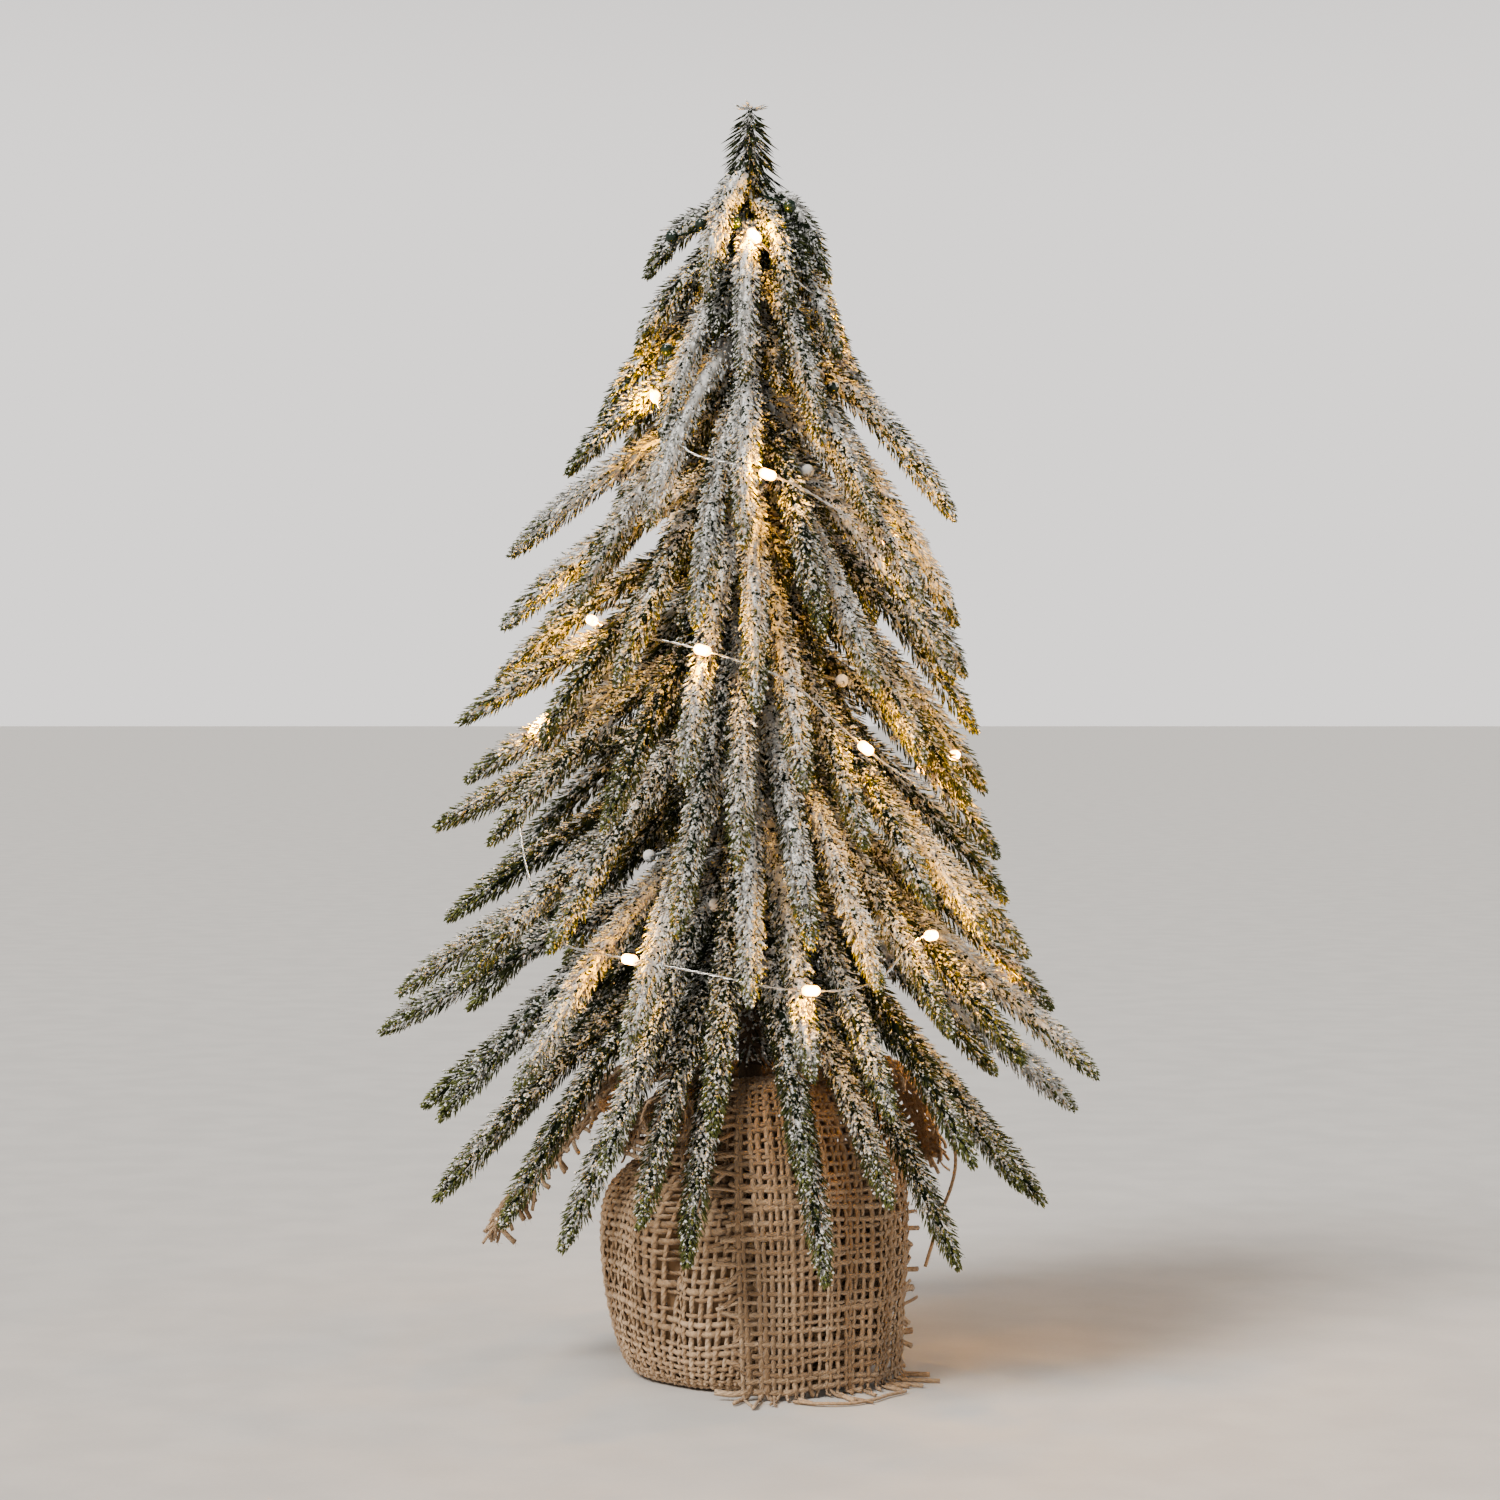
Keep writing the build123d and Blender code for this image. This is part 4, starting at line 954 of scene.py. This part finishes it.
THREADS = [
    [(62, -8, 103), (68, -9, 92), (73, -10, 79), (71, -11, 66), (66, -12, 53), (62, -14, 39)],
    [(14, -60, 0.9), (24, -64.5, 0.9), (36, -61, 0.9), (46, -52, 0.9), (53, -42, 0.9)],
    [(-50, -30, 79), (-55, -33, 73), (-57, -36, 66), (-55, -39, 60)],
]
pile = yarn_pile()
for points in THREADS:
    line = spline_points(points)
    line += noise1(3, len(line), 9, 0.7).T * MM * np.array([1, 1, 0.25])
    line[:, 2] = np.maximum(line[:, 2], 0.75 * MM)
    yarn(pile, line, 0.62 * MM, plies=1, tone=0.35)
threads = enter(pile.make("loose_yarns", hessian), node="loose_threads")

# ---- string of lights
# The straight run on each side of a light, the wire past the last one, and what a bend takes of a run.
LIGHT_RUN = 11.0
BARE_END = 6.0
BEND_SHARE = 0.45
STRAND_PITCH = 9 * MM


def wire_corners(route):
    """The corners of the wire. A light stands in the middle of its own straight run."""
    corners, lights = [], []
    for index, (kind, *here) in enumerate(route):
        here = np.array(here, float)
        if kind == "bend":
            corners.append(here)
            continue
        last = index + 1 == len(route)
        way = (here if last else np.array(route[index + 1][1:])) - np.array(route[index - 1][1:])
        way = way / np.linalg.norm(way)
        if last:
            corners.append(here + way * BARE_END)
        else:
            corners += [here - way * LIGHT_RUN, here + way * LIGHT_RUN]
        lights.append(here * MM)
    return np.array(corners), lights


def rounded(corners):
    """Straight runs joined by arcs, each taking its share of the shorter run beside it."""
    out = [corners[0]]
    for a, b, c in zip(corners, corners[1:], corners[2:]):
        back_len, on_len = np.linalg.norm(b - a), np.linalg.norm(c - b)
        cut = BEND_SHARE * min(back_len, on_len)
        u, v = (b - a) / back_len, (c - b) / on_len
        half = 0.5 * math.acos(float(np.clip(u @ v, -1, 1)))
        radius = cut / math.tan(half)
        start = b - u * cut
        inward = unit(v - u * (u @ v))
        steps = max(4, int(2 * half * radius / 2.0))
        for k in range(steps + 1):
            turn = 2 * half * k / steps
            out.append(start + u * radius * math.sin(turn) + inward * radius * (1 - math.cos(turn)))
    out.append(corners[-1])
    return np.array(out)


def twisted_strands(route):
    """Two fine strands wound round each other along the route."""
    run = distances(route)
    fine = np.linspace(0, run[-1], int(run[-1] / (1.1 * MM)))
    line = picked(fine, run, route)
    _, side, over = frames(line)
    curve = bpy.data.curves.new("light_strands", "CURVE")
    curve.dimensions = "3D"
    curve.bevel_depth = 0.24 * MM
    curve.bevel_resolution = 2
    for strand in (0, 1):
        angle = (fine / STRAND_PITCH * 2 * np.pi + strand * np.pi)[:, None]
        points = line + (side * np.cos(angle) + over * np.sin(angle)) * 0.26 * MM
        spline = curve.splines.new("POLY")
        spline.points.add(len(points) - 1)
        spline.points.foreach_set("co", np.concatenate([points, np.ones((len(points), 1))], 1).ravel())
    curve.materials.append(plain_material("Silvered wire", rgb(0.80, 0.78, 0.74), 0.28, metallic=1.0,
                                          grain=(3000.0, 0.00001)))
    return enter(linked("light_strands", curve), node="light_wire")


corners, lights = wire_corners(ROUTE)
route_line = rounded(corners) * MM
wire = twisted_strands(route_line)

# ---- finishes of the hard parts
def glow_material(name, colour, strength, clear):
    mat, n, shader = material(name)
    n.dress(shader, {
        "Base Color": colour,
        "Roughness": 0.12,
        "Transmission Weight": clear,
        "Emission Color": colour,
    })
    streak = n.noise(n.place(), 800.0, 2.0, 0.5)
    n.put(shader.inputs["Emission Strength"], n.ramp(streak, 0.3, 0.7, strength * 0.8, strength * 1.2))
    return mat


def ribbed_material(name, colour, pitch, roughness, depth):
    """Turns of tape round the trunk."""
    mat, n, shader = material(name)
    place = n.place()
    x, y, z = n.axes(place)
    turn = n.math("MULTIPLY", n.math("ARCTAN2", y, x), 0.159)
    wound = n.math("FRACT", n.math("MULTIPLY_ADD", z, 1000.0 / pitch, turn))
    edge = n.ramp(wound, 0.0, 0.12)
    crepe = n.noise(place, 1800.0, 4.0, 0.7)
    shade = n.mix(n.ramp(crepe, 0.3, 0.75), shaded(colour, 0.5), colour)
    n.dress(shader, {
        # Painted shade: the colour goes towards near black along the edge of each turn, where the step between
        # turns lies in shade.
        "Base Color": n.mix(n.ramp(edge, 0.0, 1.0, 0.6, 0.0), shade, rgb(0.02, 0.015, 0.01)),
        "Roughness": roughness,
        "Normal": n.bump(n.math("ADD", edge, n.math("MULTIPLY", crepe, 0.5)), depth, 0.9),
    })
    return mat


def frosted_material(name, colour, amount):
    mat, n, shader = material(name)
    up = n.axes(n.add("ShaderNodeNewGeometry").outputs["Normal"])[2]
    mask, height = flock(n, n.math("MULTIPLY_ADD", up, 0.10, amount))
    n.dress(shader, {
        "Base Color": n.mix(mask, colour, rgb(0.72, 0.73, 0.73)),
        "Roughness": n.ramp(mask, 0.0, 1.0, 0.22, 0.9),
        "Normal": n.bump(height, 0.0002, 0.8),
    })
    return mat


FINISH = {
    "trunk_rod": plain_material("Drawn steel", rgb(0.42, 0.42, 0.41), 0.35, metallic=1.0),
    "trunk_tape": ribbed_material("Crepe tape", rgb(0.17, 0.12, 0.07), 6.0, 0.85, 0.0004),
    "sprig_stubs": plain_material("Coated wire", rgb(0.05, 0.07, 0.03), 0.5),
    "casting_cup": plain_material("Moulded cup", rgb(0.02, 0.02, 0.02), 0.5),
    "cement_weight": plain_material("Cast cement", rgb(0.40, 0.385, 0.36), 0.9, grain=(500.0, 0.0006),
                                    spots=(rgb(0.22, 0.21, 0.20), 0.56)),
    "led_beads": glow_material("Clear resin bead", rgb(1.0, 0.60, 0.15), 8.0, 0.35),
    "led_chips": glow_material("Lit chip", rgb(1.0, 0.80, 0.42), 60.0, 0.0),
    "wire_gland": plain_material("Rubber sleeve", rgb(0.02, 0.02, 0.02), 0.75),
    "battery_case": plain_material("Box plastic", rgb(0.022, 0.024, 0.022), 0.5, grain=(2200.0, 0.0001)),
    "battery_cover": plain_material("Cover plastic", rgb(0.026, 0.028, 0.026), 0.48, grain=(2200.0, 0.0001)),
    "switch_slider": plain_material("Switch plastic", rgb(0.012, 0.012, 0.012), 0.3),
    "circuit_board": plain_material("Lacquered board", rgb(0.02, 0.13, 0.05), 0.3, coat=0.5,
                                    spots=(rgb(0.30, 0.28, 0.14), 0.60)),
    "battery_1": plain_material("Cell jacket", rgb(0.10, 0.11, 0.13), 0.3, metallic=0.5, coat=0.6),
    "battery_2": plain_material("Second cell jacket", rgb(0.10, 0.11, 0.13), 0.3, metallic=0.5, coat=0.6),
    "contact_springs": plain_material("Nickel spring wire", rgb(0.72, 0.70, 0.66), 0.22, metallic=1.0),
    "contact_plates": plain_material("Nickel plate", rgb(0.70, 0.68, 0.64), 0.28, metallic=1.0),
    "dark_balls": frosted_material("Dark glazed ball", rgb(0.008, 0.022, 0.012), 0.40),
    "frosted_balls": frosted_material("Frosted ball", rgb(0.25, 0.26, 0.25), 0.58),
}
for node_name, finish in FINISH.items():
    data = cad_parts[node_name].data
    data.materials.clear()
    data.materials.append(finish)

# A small warm light stands just outside each chip, seen from the trunk.
for here in lights:
    lamp = bpy.data.lights.new("warm_glow", "POINT")
    lamp.energy, lamp.color, lamp.shadow_soft_size = 0.10, (1.0, 0.45, 0.004), 1.6 * MM
    outward = Vector((here[0], here[1], 0)).normalized()
    linked("warm_glow", lamp).location = Vector(here) + outward * 3.5 * MM

# ---- stage, light and camera
bpy.ops.mesh.primitive_plane_add(size=60, location=(0, 0, -0.2 * MM))
floor = bpy.context.object
floor.name = "floor"
floor.data.materials.append(plain_material("Pale floor", rgb(0.62, 0.60, 0.57), 0.7, grain=(500.0, 0.00005),
                                           vary=0.93))

world = bpy.data.worlds.new("Soft studio")
world.use_nodes = True
sky = Nodes(world.node_tree)
height = sky.axes(sky.add("ShaderNodeTexCoord").outputs["Generated"])[2]
back_light = world.node_tree.nodes["Background"]
back_light.inputs[0].default_value = rgb(0.84, 0.81, 0.79)
sky.put(back_light.inputs[1], sky.ramp(sky.math("ABSOLUTE", height), 0.14, 0.40, 1.25, 0.42))
bpy.context.scene.world = world
bpy.context.scene.view_settings.look = "AgX - Medium High Contrast"


def aimed(name, data, place, aim):
    obj = linked(name, data)
    obj.location = place
    obj.rotation_euler = (Vector(aim) - Vector(place)).to_track_quat("-Z", "Y").to_euler()
    return obj


window = bpy.data.lights.new("window", "SUN")
window.energy, window.angle, window.color = 3.4, 0.42, (1.0, 0.98, 0.95)
linked("window", window).rotation_euler = Vector((-1.0, -1.05, 1.35)).to_track_quat("Z", "Y").to_euler()

fill = bpy.data.lights.new("fill", "AREA")
fill.shape, fill.size, fill.energy, fill.color = "DISK", 1.2, 6, (0.92, 0.95, 1.0)
aimed("fill", fill, (1.5, -1.0, 0.7), (0, 0, 0.2))

lens = bpy.data.cameras.new("camera")
lens.lens, lens.sensor_width = 80, 36
bpy.context.scene.camera = aimed("camera", lens, (0, -1.185, 0.238), (0, 0, 0.2205))
